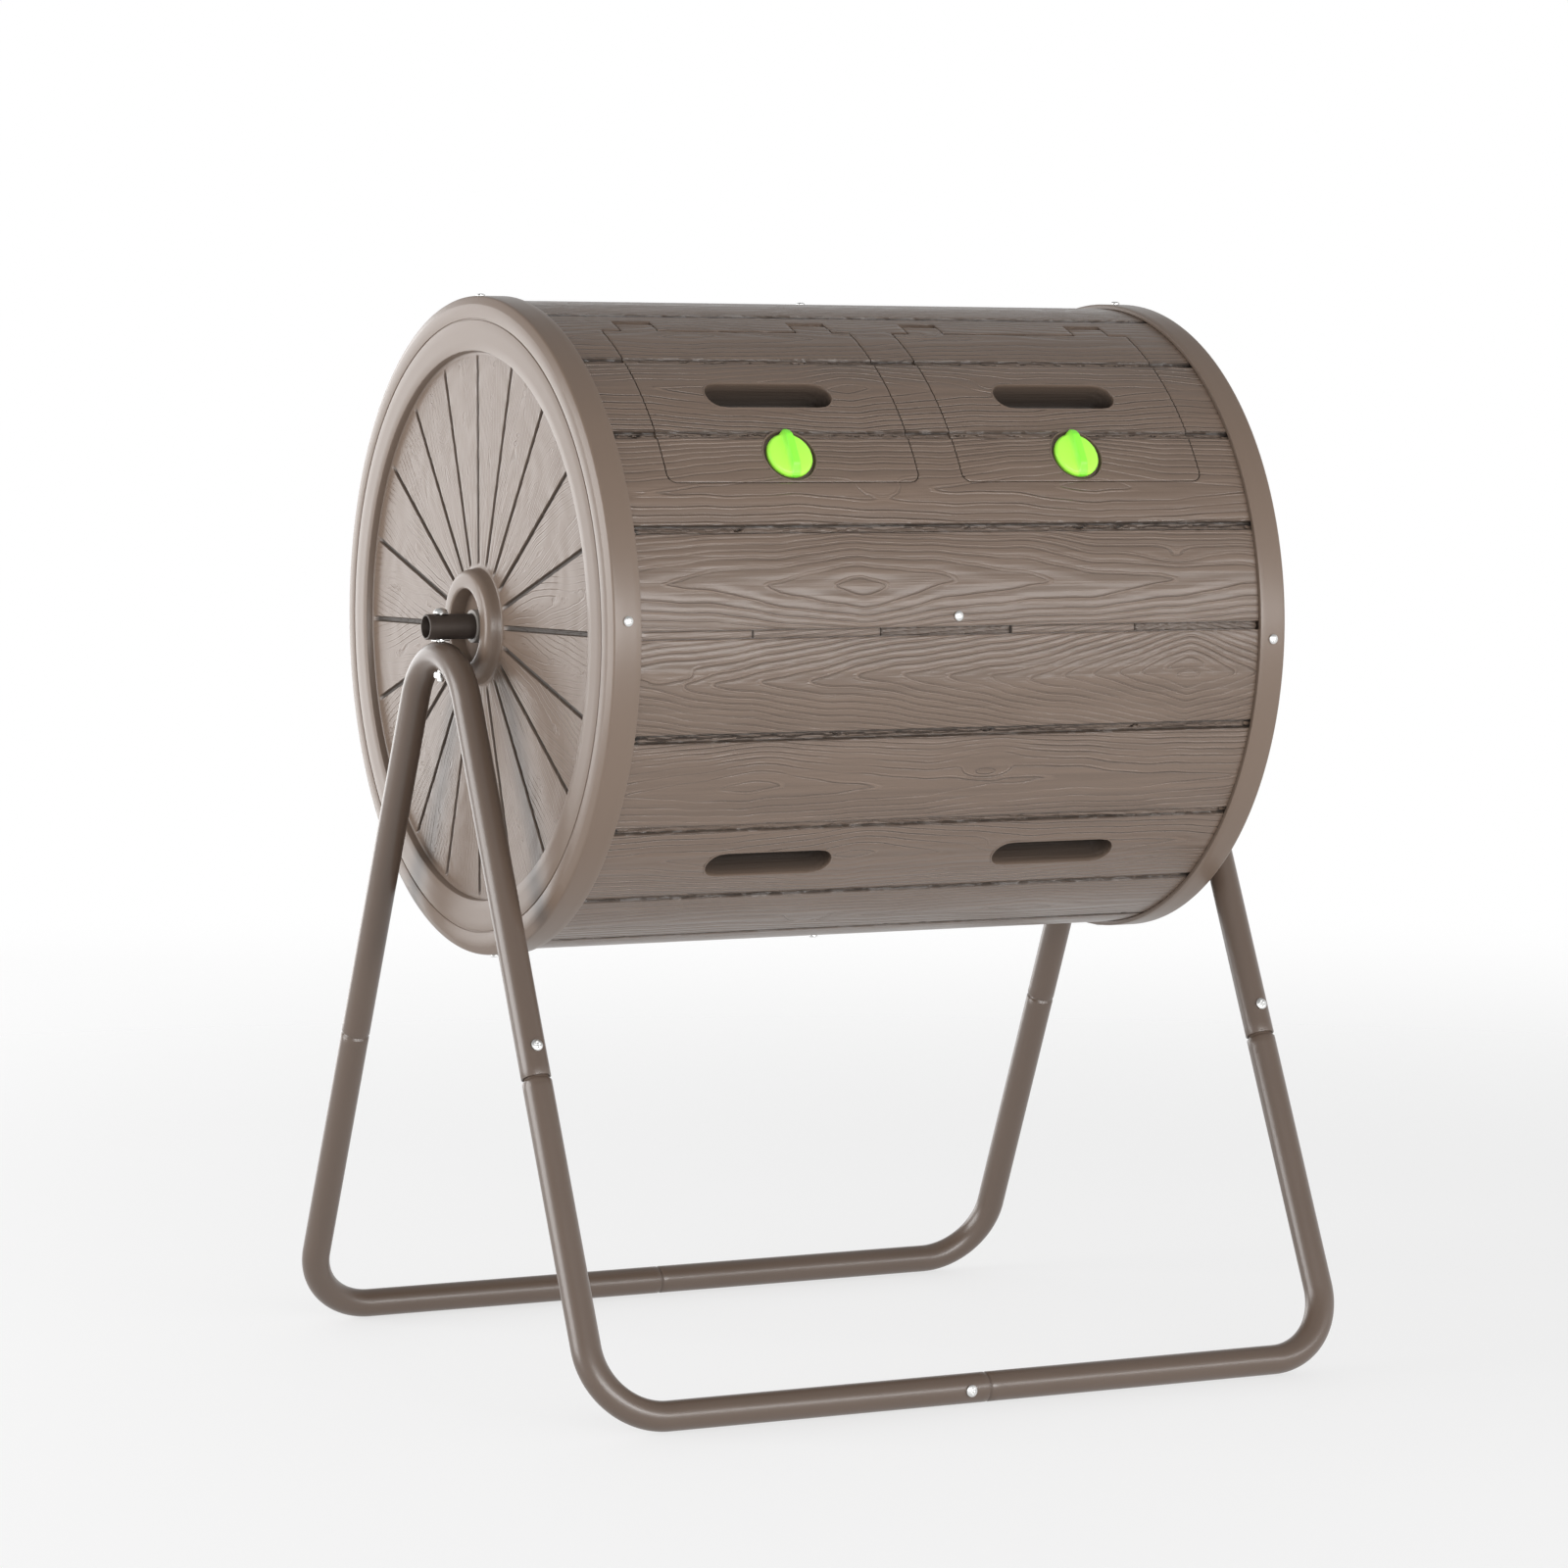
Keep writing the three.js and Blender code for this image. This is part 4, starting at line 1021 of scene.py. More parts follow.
def door_distance(x, t, side):
    x0, x1 = mirrored(side, DOOR_NEAR, DOOR_FAR)
    leaf = box_distance(x, t, x0, x1, DOOR_LOW * ARC, DOOR_TOP * ARC, 8.0, 1.5)
    for centre in TAB_CENTRES:
        s0, s1 = mirrored(side, centre - TAB_WIDTH / 2, centre + TAB_WIDTH / 2)
        tab = box_distance(x, t, s0, s1, (DOOR_TOP - 2) * ARC, HINGE_ANGLE * ARC)
        leaf = np.minimum(leaf, tab)
    grip = slot_distance(x, t, side * GRIP_X, GRIP_ANGLE * ARC, GRIP_LENGTH, GRIP_WIDTH)
    seat = np.hypot(x - side * KNOB_X, t - KNOB_ANGLE * ARC) - SEAT_R
    return np.maximum(leaf, np.maximum(-grip, -seat))


# ---------- operators ----------
class TUMBLER_OT_panels(bpy.types.Operator):
    """Builds the four wood-look panels of the drum"""

    bl_idname = "tumbler.panels"
    bl_label = "Panels"

    def execute(self, context):
        sizes = context.scene.tumbler_sizes
        half = sizes.groove_width / MM / 2
        step = sizes.skin_step / MM
        names = ("panel_front_upper", "panel_back_upper", "panel_back_lower", "panel_front_lower")
        for quarter, name in enumerate(names):
            low, high = quarter * 90 + STRIP_HALF, (quarter + 1) * 90 - STRIP_HALF
            has_doors = quarter == 0

            def outline(x, t, low=low, high=high, has_doors=has_doors):
                leaf = box_distance(x, t, -PANEL_END, PANEL_END, low * ARC, high * ARC)
                for side in (-1, 1):
                    if has_doors:
                        leaf = np.maximum(leaf, -opening_distance(x, t, side))
                    else:
                        middle = (low + high) / 2 * ARC
                        leaf = np.maximum(leaf, -slot_distance(x, t, side * GRIP_X, middle, GRIP_LENGTH,
                                                               GRIP_WIDTH))
                return leaf

            def relief(x, t):
                return skin_relief(x, t, sizes)

            x_marks = [-BAND_START, BAND_START]
            t_marks = groove_marks(low, high, half)
            if has_doors:
                edges = [DOOR_NEAR - DOOR_GAP, DOOR_FAR + DOOR_GAP]
                for centre in TAB_CENTRES:
                    reach = TAB_WIDTH / 2 + DOOR_GAP
                    edges += [centre - reach, centre + reach]
                x_marks += [s * (e + d) for e in edges for s in (-1, 1) for d in (-1.2, 0, 1.2)]
                for edge in (OPENING_LOW, OPENING_TOP, SLOT_TOP):
                    t_marks += [edge * ARC + d for d in (-1.1, 0, 1.1)]
            t_marks += [low * ARC + 0.5, low * ARC + 1.2, high * ARC - 0.5, high * ARC - 1.2]
            x_lines = np.concatenate([
                stops(-PANEL_END, -BAND_START, 12.0)[:-1],
                stops(-BAND_START, BAND_START, 3.7, x_marks),
                stops(BAND_START, PANEL_END, 12.0)[1:]])
            t_lines = stops(low * ARC, high * ARC, step, t_marks)
            form = Form()
            shell(form, x_lines, t_lines, outline, relief, INNER_R)
            panel_strip(form, (quarter + 1) * 90, sizes)
            rim_block(form, (quarter + 1) * 90)
            if has_doors:
                for side in (-1, 1):
                    door_frame(form, side)
            else:
                for side in (-1, 1):
                    grip_cup(form, side * GRIP_X, quarter * 90 + 45)
            form.make(name, "wood_look_skin", "drum", [name], crease=40, weld=False)
        return {"FINISHED"}


def door_frame(form, side):
    """Ledge behind the edge of a door, and the lugs that hold its hinge pins."""
    edge = 8.0
    low = OPENING_LOW * ARC
    outer = rectangle(*mirrored(side, DOOR_NEAR - DOOR_GAP - edge + 1, DOOR_FAR + DOOR_GAP + edge),
                      low - edge, SLOT_TOP * ARC + 3)
    x0, x1 = mirrored(side, DOOR_NEAR + edge, DOOR_FAR - edge)
    n0, n1 = side * KNOB_X - 32, side * KNOB_X + 32
    t0, t1 = low + edge, (DOOR_TOP - 2) * ARC
    mouth = [(x0, t0), (n0, t0), (n0, low), (n1, low), (n1, t0), (x1, t0)]
    top = []
    slots = sorted(side * c for c in TAB_CENTRES)
    reach = TAB_WIDTH / 2 + DOOR_GAP
    for centre in reversed(slots):
        top += [(centre + reach, t1), (centre + reach, SLOT_TOP * ARC), (centre - reach, SLOT_TOP * ARC),
                (centre - reach, t1)]
    mouth += [(x1, t1), *top, (x0, t1)]
    plate(form, [outer, mouth], TONGUE_R, TONGUE_R - 3.0, 9.0)
    for centre in TAB_CENTRES:
        for place in (centre + reach, centre - reach - LUG_WIDTH):
            l0, l1 = mirrored(side, place, place + LUG_WIDTH)
            plate(form, [rectangle(l0, l1, (HINGE_ANGLE - 1.8) * ARC, (HINGE_ANGLE + 1.8) * ARC)],
                  TONGUE_R + 0.8, 266.0, 6.0)
    return form


class TUMBLER_OT_doors(bpy.types.Operator):
    """Builds the two doors with their hinge barrels, finger grips and knob seats"""

    bl_idname = "tumbler.doors"
    bl_label = "Doors"

    def execute(self, context):
        sizes = context.scene.tumbler_sizes
        half = sizes.groove_width / MM / 2
        for name, side in ENDS:
            def outline(x, t, side=side):
                return door_distance(x, t, side)

            def relief(x, t):
                depth, marks = skin_relief(x, t, sizes, shallow=0.45)
                # the step at the lowered top of each tab also gets a painted shadow line through the groove
                # mark
                heel = soft(t, HINGE_ANGLE * ARC - TAB_HEEL, HINGE_ANGLE * ARC - TAB_HEEL + 0.5)
                return depth + 1.3 * heel, {**marks, "groove": np.maximum(marks["groove"], 0.95 * heel)}

            edges = [DOOR_NEAR, DOOR_FAR]
            for centre in TAB_CENTRES:
                edges += [centre - TAB_WIDTH / 2, centre + TAB_WIDTH / 2]
            x_marks = [side * (e + d) for e in edges for d in (-1.0, 0, 1.0)]
            t_marks = groove_marks(DOOR_LOW, HINGE_ANGLE, half)
            t_marks += [DOOR_LOW * ARC + d for d in (0, 0.6, 1.2)]
            t_marks += [DOOR_TOP * ARC + d for d in (-1.2, -0.6, 0)]
            t_marks += [HINGE_ANGLE * ARC - TAB_HEEL + d for d in (-0.1, 0.3, 0.6)]
            x0, x1 = mirrored(side, DOOR_NEAR, DOOR_FAR)
            form = Form()
            shell(form, stops(x0, x1, 2.2, x_marks), stops(DOOR_LOW * ARC, HINGE_ANGLE * ARC, 1.0, t_marks),
                  outline, relief, INNER_R, 9.0)
            grip_cup(form, side * GRIP_X, GRIP_ANGLE)
            knob_seat(form, side)
            for centre in TAB_CENTRES:
                hinge_barrel(form, side * centre)
            form.make(f"door_{name}", "wood_look_skin", f"door_{name}", [f"door_{name}"], crease=40,
                      weld=False)
        return {"FINISHED"}


def hinge_barrel(form, centre):
    """Rolled end of a hinge tab, around its pin."""
    w = TAB_WIDTH / 2
    r = 6.95
    profile = [(-w, 2.3), (-w, r - 1.2), (-w + 0.35, r - 0.35), (-w + 1.2, r), (0, r),
               (w - 1.2, r), (w - 0.35, r - 0.35), (w, r - 1.2), (w, 2.3)]
    place = Matrix.Translation((centre, HINGE[0], AXIS_Z + HINGE[1]))
    turned(form, profile, 40, place, axis="x", closed=True, grain=0.0, groove=0.0, tone=0.5, outside=0.3)
    return form


def knob_seat(form, side):
    """Round dish that the knob sits in."""
    rings = [(SEAT_R + 1.5, -0.5, 1), (SEAT_R + 1.2, 0.12, 1), (SEAT_R + 0.5, 0.32, 1),
             (SEAT_R - 0.1, 0.1, 1), (SEAT_R - 0.3, -0.8, 1), (SEAT_R - 0.45, SEAT_FLOOR + 0.8, 0),
             (SEAT_R - 1.2, SEAT_FLOOR, 0), (16.0, SEAT_FLOOR, 0), (7.2, SEAT_FLOOR, 0),
             (6.4, SEAT_FLOOR - 0.5, 0), (6.4, SEAT_FLOOR - WALL, 0), (18.0, SEAT_FLOOR - WALL, 0),
             (SEAT_R + 2, SEAT_FLOOR - WALL, 0), (SEAT_R + 2.6, SEAT_FLOOR - WALL + 1, 0),
             (SEAT_R + 2.6, -WALL + 0.4, 1)]
    count = 72
    turn = np.arange(count) * 2 * np.pi / count
    points = []
    low_edge = DOOR_LOW * ARC - KNOB_ANGLE * ARC + 0.4
    for radius, height, on_skin in rings:
        px, py = radius * np.cos(turn), np.maximum(radius * np.sin(turn), low_edge)
        drop = SKIN_R - np.sqrt(SKIN_R ** 2 - py ** 2)
        z = SKIN_R - drop + height if on_skin else np.full(count, height)
        points.append(np.stack([px, py, z], axis=1))
    points = moved(np.concatenate(points), on_drum(side * KNOB_X, KNOB_ANGLE))
    faces = grid_faces(len(rings), count, wrap_rows=True, wrap_columns=True)
    # painted shade on the floor of the dish round the knob, carried in the groove mark
    form.add(points, [faces], grain=0.0, groove=np.repeat([0.0] * 5 + [0.2] * 5 + [0.0] * 5, count),
             tone=0.4, outside=0.0)
    return form


class TUMBLER_OT_caps(bpy.types.Operator):
    """Builds the two end caps with their rim bands, radial planks and hubs"""

    bl_idname = "tumbler.caps"
    bl_label = "End caps"

    def execute(self, context):
        wedges = context.scene.tumbler_sizes.wedges
        for name, end in ENDS:
            form = Form()
            cap_surface(form, end, wedges)
            form.make(f"end_cap_{name}", "end_cap", "drum", [f"end_cap_{name}"], crease=38)
        return {"FINISHED"}


def cap_rings():
    """Outer face of a cap from the hub's bore to the band, then back along the inside: (x, radius, field)."""
    face = [
        (FIELD_X - 0.5, 13.5, 0), (FIELD_X - 0.5, 15.5, 0), (FIELD_X - 0.5, RECESS_R - 1.6, 0),
        (FIELD_X - 0.1, RECESS_R - 0.5, 0), (FIELD_X + 1.2, RECESS_R, 0), (HUB_X - 1.8, RECESS_R + 0.25, 0),
        (HUB_X - 0.6, RECESS_R + 0.9, 0), (HUB_X - 0.1, RECESS_R + 2.0, 0), (HUB_X, RECESS_R + 3.6, 0),
        (HUB_X, HUB_R - 7.5, 0), (HUB_X - 0.4, HUB_R - 5.2, 0), (HUB_X - 1.4, HUB_R - 3.4, 0),
        (HUB_X - 3.2, HUB_R - 2.0, 0), (HUB_X - 6.0, HUB_R - 1.0, 0), (HUB_X - 9.5, HUB_R - 0.5, 0),
        (FIELD_X + 2.0, HUB_R, 0), (FIELD_X + 0.7, HUB_R + 0.5, 0), (FIELD_X, HUB_R + 1.8, 0),
        (FIELD_X, HUB_R + 3.2, 0)]
    first, last = HUB_R + 4.4, RING_R - 4.6
    count = 46
    face += [(FIELD_X, first + (last - first) * k / (count - 1), 1) for k in range(count)]
    face += [
        (FIELD_X, RING_R - 3.4, 0), (FIELD_X + 0.1, RING_R - 1.6, 0), (FIELD_X + 0.8, RING_R - 0.75, 0),
        (FACE_X - 1.4, RING_R - 0.1, 0), (FACE_X - 0.4, RING_R + 0.45, 0), (FACE_X, RING_R + 1.5, 0),
        (FACE_X, RING_R + 9, 0), (FACE_X, RING_R + 18, 0), (FACE_X, 262.6, 0), (FACE_X - 0.15, 263.2, 0),
        (FACE_X - 0.9, 263.6, 0), (FACE_X - 0.9, 264.4, 0), (FACE_X - 0.15, 264.8, 0), (FACE_X, 265.4, 0),
        (FACE_X, 271, 0), (FACE_X, FACE_R - 0.9, 0), (FACE_X - 0.3, FACE_R, 0),
        (FACE_X - 0.9, FACE_R + 1.3, 0), (FACE_X - 2.4, BAND_R - 1.7, 0), (FACE_X - 3.0, BAND_R - 0.75, 0),
        (FACE_X - 3.9, BAND_R - 0.2, 0), (FACE_X - 5.2, BAND_R, 0), (312.0, BAND_R, 0), (304.0, BAND_R, 0),
        (BAND_START + 1.2, BAND_R, 0), (BAND_START + 0.35, BAND_R - 0.35, 0), (BAND_START, BAND_R - 1.2, 0),
        (BAND_START, SKIN_R + 0.35, 0)]
    skirt = TONGUE_R
    back = [
        (310.0, SKIN_R + 0.35, 0), (FACE_X - WALL, SKIN_R + 0.35, 0), (FACE_X - WALL, skirt, 0),
        (BAND_START + 2.5, skirt, 0), (BAND_START + 2.5, skirt - WALL, 0), (FACE_X - WALL, skirt - WALL, 0),
        (FACE_X - WALL, 255.0, 0), (FACE_X - WALL, RING_R + WALL, 0),
        (FIELD_X - WALL, RING_R + WALL - 2.5, 0), (FIELD_X - WALL, 200.0, 0), (FIELD_X - WALL, 150.0, 0),
        (FIELD_X - WALL, 100.0, 0), (FIELD_X - WALL, HUB_R - 2.0, 0), (HUB_X - WALL, HUB_R - 8.5, 0),
        (HUB_X - WALL, RECESS_R + WALL, 0), (FIELD_X - WALL - 0.5, RECESS_R + WALL, 0),
        (FIELD_X - WALL - 0.5, 17.0, 0), (290.0, 17.0, 0), (290.0, 13.5, 0)]
    return face, back


def cap_surface(form, end, wedges):
    face, back = cap_rings()
    rings = face + back
    wedge = 2 * math.pi / wedges
    offsets = (-3.2, -2.5, -1.9, -1.5, 0.0, 1.5, 1.9, 2.5, 3.2)
    between = 9
    angles, push, grain, groove, field_mark = [], [], [], [], []
    for x, radius, field in rings:
        row, dips, rows_grain, rows_groove = [], [], [], []
        for k in range(wedges):
            start = k * wedge
            limit = wedge * 0.42
            sides = [max(-limit, min(limit, o / max(radius, 30.0))) for o in offsets]
            inner = np.linspace(sides[-1], wedge + sides[0], between + 2)[1:-1]
            for offset, angle in zip(offsets, sides):
                row.append(start + angle)
                fade = soft(radius, HUB_R + 3, HUB_R + 7) * (1 - soft(radius, RING_R - 6, RING_R - 3.5))
                # share deepens the radial groove and also marks its painted shade
                share = float(1 - soft(abs(offset), 1.7, 2.4)) * float(fade) if field else 0.0
                dips.append(2.6 * share)
                rows_groove.append(share)
                rows_grain.append(grain_on_wedge(k, angle * radius, radius, wedge))
            for angle in inner:
                row.append(start + float(angle))
                dips.append(0.0)
                rows_groove.append(0.0)
                across = float(angle) * radius
                if across > wedge * radius / 2:
                    across -= wedge * radius
                rows_grain.append(grain_on_wedge(k if float(angle) < wedge / 2 else k + 1, across, radius,
                                                 wedge))
        if field:
            lift = 0.12 * np.cos(2 * np.pi * np.array(rows_grain)) * (1 - np.array(rows_groove))
            dips = list(np.array(dips) - lift)
        angles.append(row)
        push.append(dips)
        grain.append(rows_grain)
        groove.append(rows_groove)
        field_mark.append([float(field)] * len(row))
    angles, push = np.array(angles), np.array(push)
    radius = np.array([r for _, r, _ in rings])[:, None]
    x = np.array([v for v, _, _ in rings])[:, None] - push
    # groove lines start from straight up
    turn = angles + math.pi / 2
    points = np.stack([end * x * np.ones_like(turn), radius * np.cos(turn), AXIS_Z + radius * np.sin(turn)],
                      axis=-1)
    rows, columns = turn.shape
    faces = grid_faces(rows, columns, wrap_rows=True, wrap_columns=True, flip=end > 0)
    form.add(points, [faces], grain=np.array(grain).ravel(), groove=np.array(groove).ravel(),
             outside=np.array(field_mark).ravel())
    return form


def grain_on_wedge(k, across, radius, wedge):
    """Grain of a radial plank; `across` is measured from the groove line before it."""
    middle = across - wedge * radius / 2 if across >= 0 else across + wedge * radius / 2
    shift = fract((k if across >= 0 else k - 1) * 0.618034) * 60
    wave = 1.6 * math.sin(radius / 27 + shift) + 0.6 * math.sin(radius / 11 + shift * 2)
    return (math.sqrt((middle + wave) ** 2 + 6) + 0.09 * abs(radius - 90 - shift)) / 5.4


class TUMBLER_OT_bearings(bpy.types.Operator):
    """Builds the fixed axle tube, its bushes and the disc between the chambers"""

    bl_idname = "tumbler.bearings"
    bl_label = "Axle, bushes and divider"

    def execute(self, context):
        form = Form()
        r, end = AXLE_R, AXLE_END
        outer = [(-end, r - 1.5), (-end, r - 0.5), (-end + 0.5, r),
                 *[(-end + 30 + k * 67.6, r) for k in range(11)], (end - 0.5, r), (end, r - 0.5),
                 (end, r - 1.5), (0.0, r - 1.5)]
        place = Matrix.Translation((0, 0, AXIS_Z))
        turned(form, outer, 64, place, axis="x", closed=True)
        form.make("axle_tube", "axle_steel", "stand", ["axle_tube"])
        for name, side in ENDS:
            form = Form()
            inner = AXLE_R + 0.35
            profile = rounded([(289.0, inner), (289.0, 13.0), (318.3, 13.0), (318.3, 14.35), (325.2, 14.35),
                               (325.2, inner)], 0.6)
            profile = [(x, radius) for x, radius in profile] + [(300.0, inner)]
            turned(form, profile, 64, place @ Matrix.Scale(side, 4, (1, 0, 0)), axis="x", closed=True)
            form.make(f"axle_bush_{name}", "bush", "drum", [f"axle_bush_{name}"])
        form = Form()
        outer_r = high_mm("divider_disc")[2] - AXIS_Z
        outer_r = min(outer_r, 272.3) - 0.3
        profile = [(-1.5, 12.5), (-1.5, 16), (-3.2, 17), (-3.2, 21), (-1.5, 22.5), (-1.5, 80), (-2.4, 82),
                   (-2.4, 88), (-1.5, 90), (-1.5, 160), (-2.4, 162), (-2.4, 168), (-1.5, 170), (-1.5, 240),
                   (-2.4, 262), (-10, outer_r - 3), (-10, outer_r - 0.6), (-9.4, outer_r), (9.4, outer_r),
                   (10, outer_r - 0.6), (10, outer_r - 3), (2.4, 262), (1.5, 240), (1.5, 170), (2.4, 168),
                   (2.4, 162), (1.5, 160), (1.5, 90), (2.4, 88), (2.4, 82), (1.5, 80), (1.5, 22.5),
                   (3.2, 21), (3.2, 17), (1.5, 16), (1.5, 12.5)]
        turned(form, profile, 160, place, axis="x", closed=True)
        form.make("divider_disc", "inner_plastic", "drum", ["divider_disc"])
        return {"FINISHED"}


def tube(form, stations, normal, sides=56):
    """Closed tube wall along a planar path. Each station is (point, tangent, outer radius, inner radius)."""
    normal = np.array(normal, float)
    normal /= np.linalg.norm(normal)
    turn = np.arange(sides) * 2 * np.pi / sides

    def ring(point, tangent, radius):
        tangent = np.array(tangent, float)
        tangent /= np.linalg.norm(tangent)
        other = np.cross(tangent, normal)
        around = np.cos(turn)[:, None] * normal + np.sin(turn)[:, None] * other
        return np.array(point, float) + radius * around

    first, last = stations[0], stations[-1]

    def shifted(station, distance, radius):
        point, tangent = np.array(station[0], float), np.array(station[1], float)
        return ring(point + tangent / np.linalg.norm(tangent) * distance, tangent, radius)

    rings = [shifted(first, 0.0, first[3] + 0.25), shifted(first, 0.0, first[2] - 0.45),
             shifted(first, 0.13, first[2] - 0.13), shifted(first, 0.45, first[2])]
    rings += [ring(p, d, outer) for p, d, outer, _ in stations[1:-1]]
    rings += [shifted(last, -0.45, last[2]), shifted(last, -0.13, last[2] - 0.13),
              shifted(last, 0.0, last[2] - 0.45), shifted(last, 0.0, last[3] + 0.25),
              shifted(last, -0.3, last[3])]
    rings += [ring(p, d, inner) for p, d, _, inner in stations[-2:0:-1]]
    rings += [shifted(first, 0.3, first[3])]
    form.add(np.concatenate(rings), [grid_faces(len(rings), sides, wrap_rows=True, wrap_columns=True)])
    return form


def arc_path(start, tangent, side, radius, angle, steps):
    start, tangent, side = (np.array(v, float) for v in (start, tangent, side))
    centre = start + side * radius
    path = []
    for k in range(steps + 1):
        a = angle * k / steps
        path.append((centre + radius * (-side * math.cos(a) + tangent * math.sin(a)),
                     tangent * math.cos(a) + side * math.sin(a)))
    return path


def leg_y(z):
    return RAIL_Y - LEAN * (z - TUBE_R)


def leg_up(side):
    v = np.array([0, -side * LEAN, 1.0])
    return v / np.linalg.norm(v)


def leg_out(side):
    v = np.array([0, side, LEAN])
    return v / np.linalg.norm(v)


def leg_screw_point(x, side):
    centre = np.array([x, side * leg_y(JOINT_Z), JOINT_Z])
    return centre + leg_up(side) * 27.0 + leg_out(side) * TUBE_R


class TUMBLER_OT_stand(bpy.types.Operator):
    """Builds the six bent tubes of the stand"""

    bl_idname = "tumbler.stand"
    bl_label = "Stand tubes"

    def execute(self, context):
        wall = 1.5
        inner = TUBE_R - wall
        neck = 10.9
        for name, end in ENDS:
            x = end * LEG_X
            lean_length = math.hypot(1, LEAN)
            bend = (RAIL_Y + LEAN * TUBE_R - LEAN * CROWN_TOP) / (lean_length - LEAN)
            foot = JOINT_Z + 2
            start = np.array([x, leg_y(foot), foot])
            inward = -leg_out(1)
            centre = np.array([x, 0, CROWN_TOP - bend])
            path = arc_path(centre - inward * bend, leg_up(1), inward, bend, math.pi - 2 * math.atan(LEAN),
                            44)
            stations = [(start, leg_up(1), TUBE_R, inner), (start + leg_up(1) * 8, leg_up(1), TUBE_R, inner)]
            stations += [(p, d, TUBE_R, inner) for p, d in path]
            far = start * (1, -1, 1)
            down = -leg_up(-1)
            stations += [(far - down * 8, down, TUBE_R, inner), (far, down, TUBE_R, inner)]
            form = tube(Form(), stations, (1, 0, 0))
            form.make(f"crown_tube_{name}", "stand_tube", "stand", [f"crown_tube_{name}"], crease=40)
            for side_name, side in SIDES:
                male = end > 0
                rail_end = 5.0 + (1.5 if male else -1.5)
                toward, up = np.array([end, 0, 0.0]), leg_up(side)
                corner = np.array([x, side * RAIL_Y, TUBE_R])
                path = arc_path(corner - toward * 62.0, toward, up, 62.0, math.pi / 2, 30)
                begin = np.array([rail_end, side * RAIL_Y, TUBE_R])
                top_z = JOINT_Z - 1.5
                top = np.array([x, side * leg_y(top_z), top_z])
                shoulder = [(0.0, TUBE_R), (0.7, TUBE_R - 0.35), (2.0, neck + 0.35), (2.9, neck),
                            (39.0, neck), (40.0, neck - 0.6)]
                stations = []
                if male:
                    stations += [(begin - toward * d, toward, r, neck - wall) for d, r in reversed(shoulder)]
                else:
                    stations.append((begin, toward, TUBE_R, inner))
                stations += [(begin + toward * d, toward, TUBE_R, inner) for d in (6, 60, 120, 200)]
                stations += [(p, d, TUBE_R, inner) for p, d in path]
                stations += [(top - up * d, up, TUBE_R, inner) for d in (90, 6)]
                stations += [(top + up * d, up, r, neck - wall) for d, r in shoulder]
                form = tube(Form(), stations, np.cross(toward, up))
                name_full = f"lower_tube_{side_name}_{name}"
                form.make(name_full, "stand_tube", "stand", [name_full], crease=40)
        return {"FINISHED"}


def screw(form, matrix, head_r, head_h, shank_r, length, seat=0.0):
    """Domed screw with a cross recess, standing on local z = seat."""
    sides = 48
    turn = np.arange(sides) * 2 * np.pi / sides
    shares = (0.0, 0.1, 0.2, 0.3, 0.4, 0.5, 0.6, 0.7, 0.8, 0.88, 0.94, 0.98, 1.0)
    rings = []
    for s in shares:
        x, y = s * head_r * np.cos(turn), s * head_r * np.sin(turn)
        dome = head_h * (0.42 + 0.58 * (1 - s ** 2.6)) if s < 1 else head_h * 0.42
        arm = head_r * 0.16
        cross = np.maximum(np.exp(-(y / arm) ** 4), np.exp(-(x / arm) ** 4))
        recess = cross * float(1 - soft(s, 0.42, 0.62)) * head_h * 0.42
        rings.append(np.stack([x, y, seat + dome - recess], axis=1))
    for radius, z in ((head_r, head_h * 0.12), (head_r - 0.25, 0.0), (shank_r, 0.0), (shank_r, -length + 1.6),
                      (0.25, -length)):
        rings.append(np.stack([radius * np.cos(turn), radius * np.sin(turn), np.full(sides, seat + z)],
                              axis=1))
    count = len(rings)
    points = moved(np.concatenate(rings), matrix)
    faces = grid_faces(count, sides, wrap_columns=True)
    form.add(points, [faces, fan_face(np.arange(sides) + (count - 1) * sides, flip=False)])
    return form


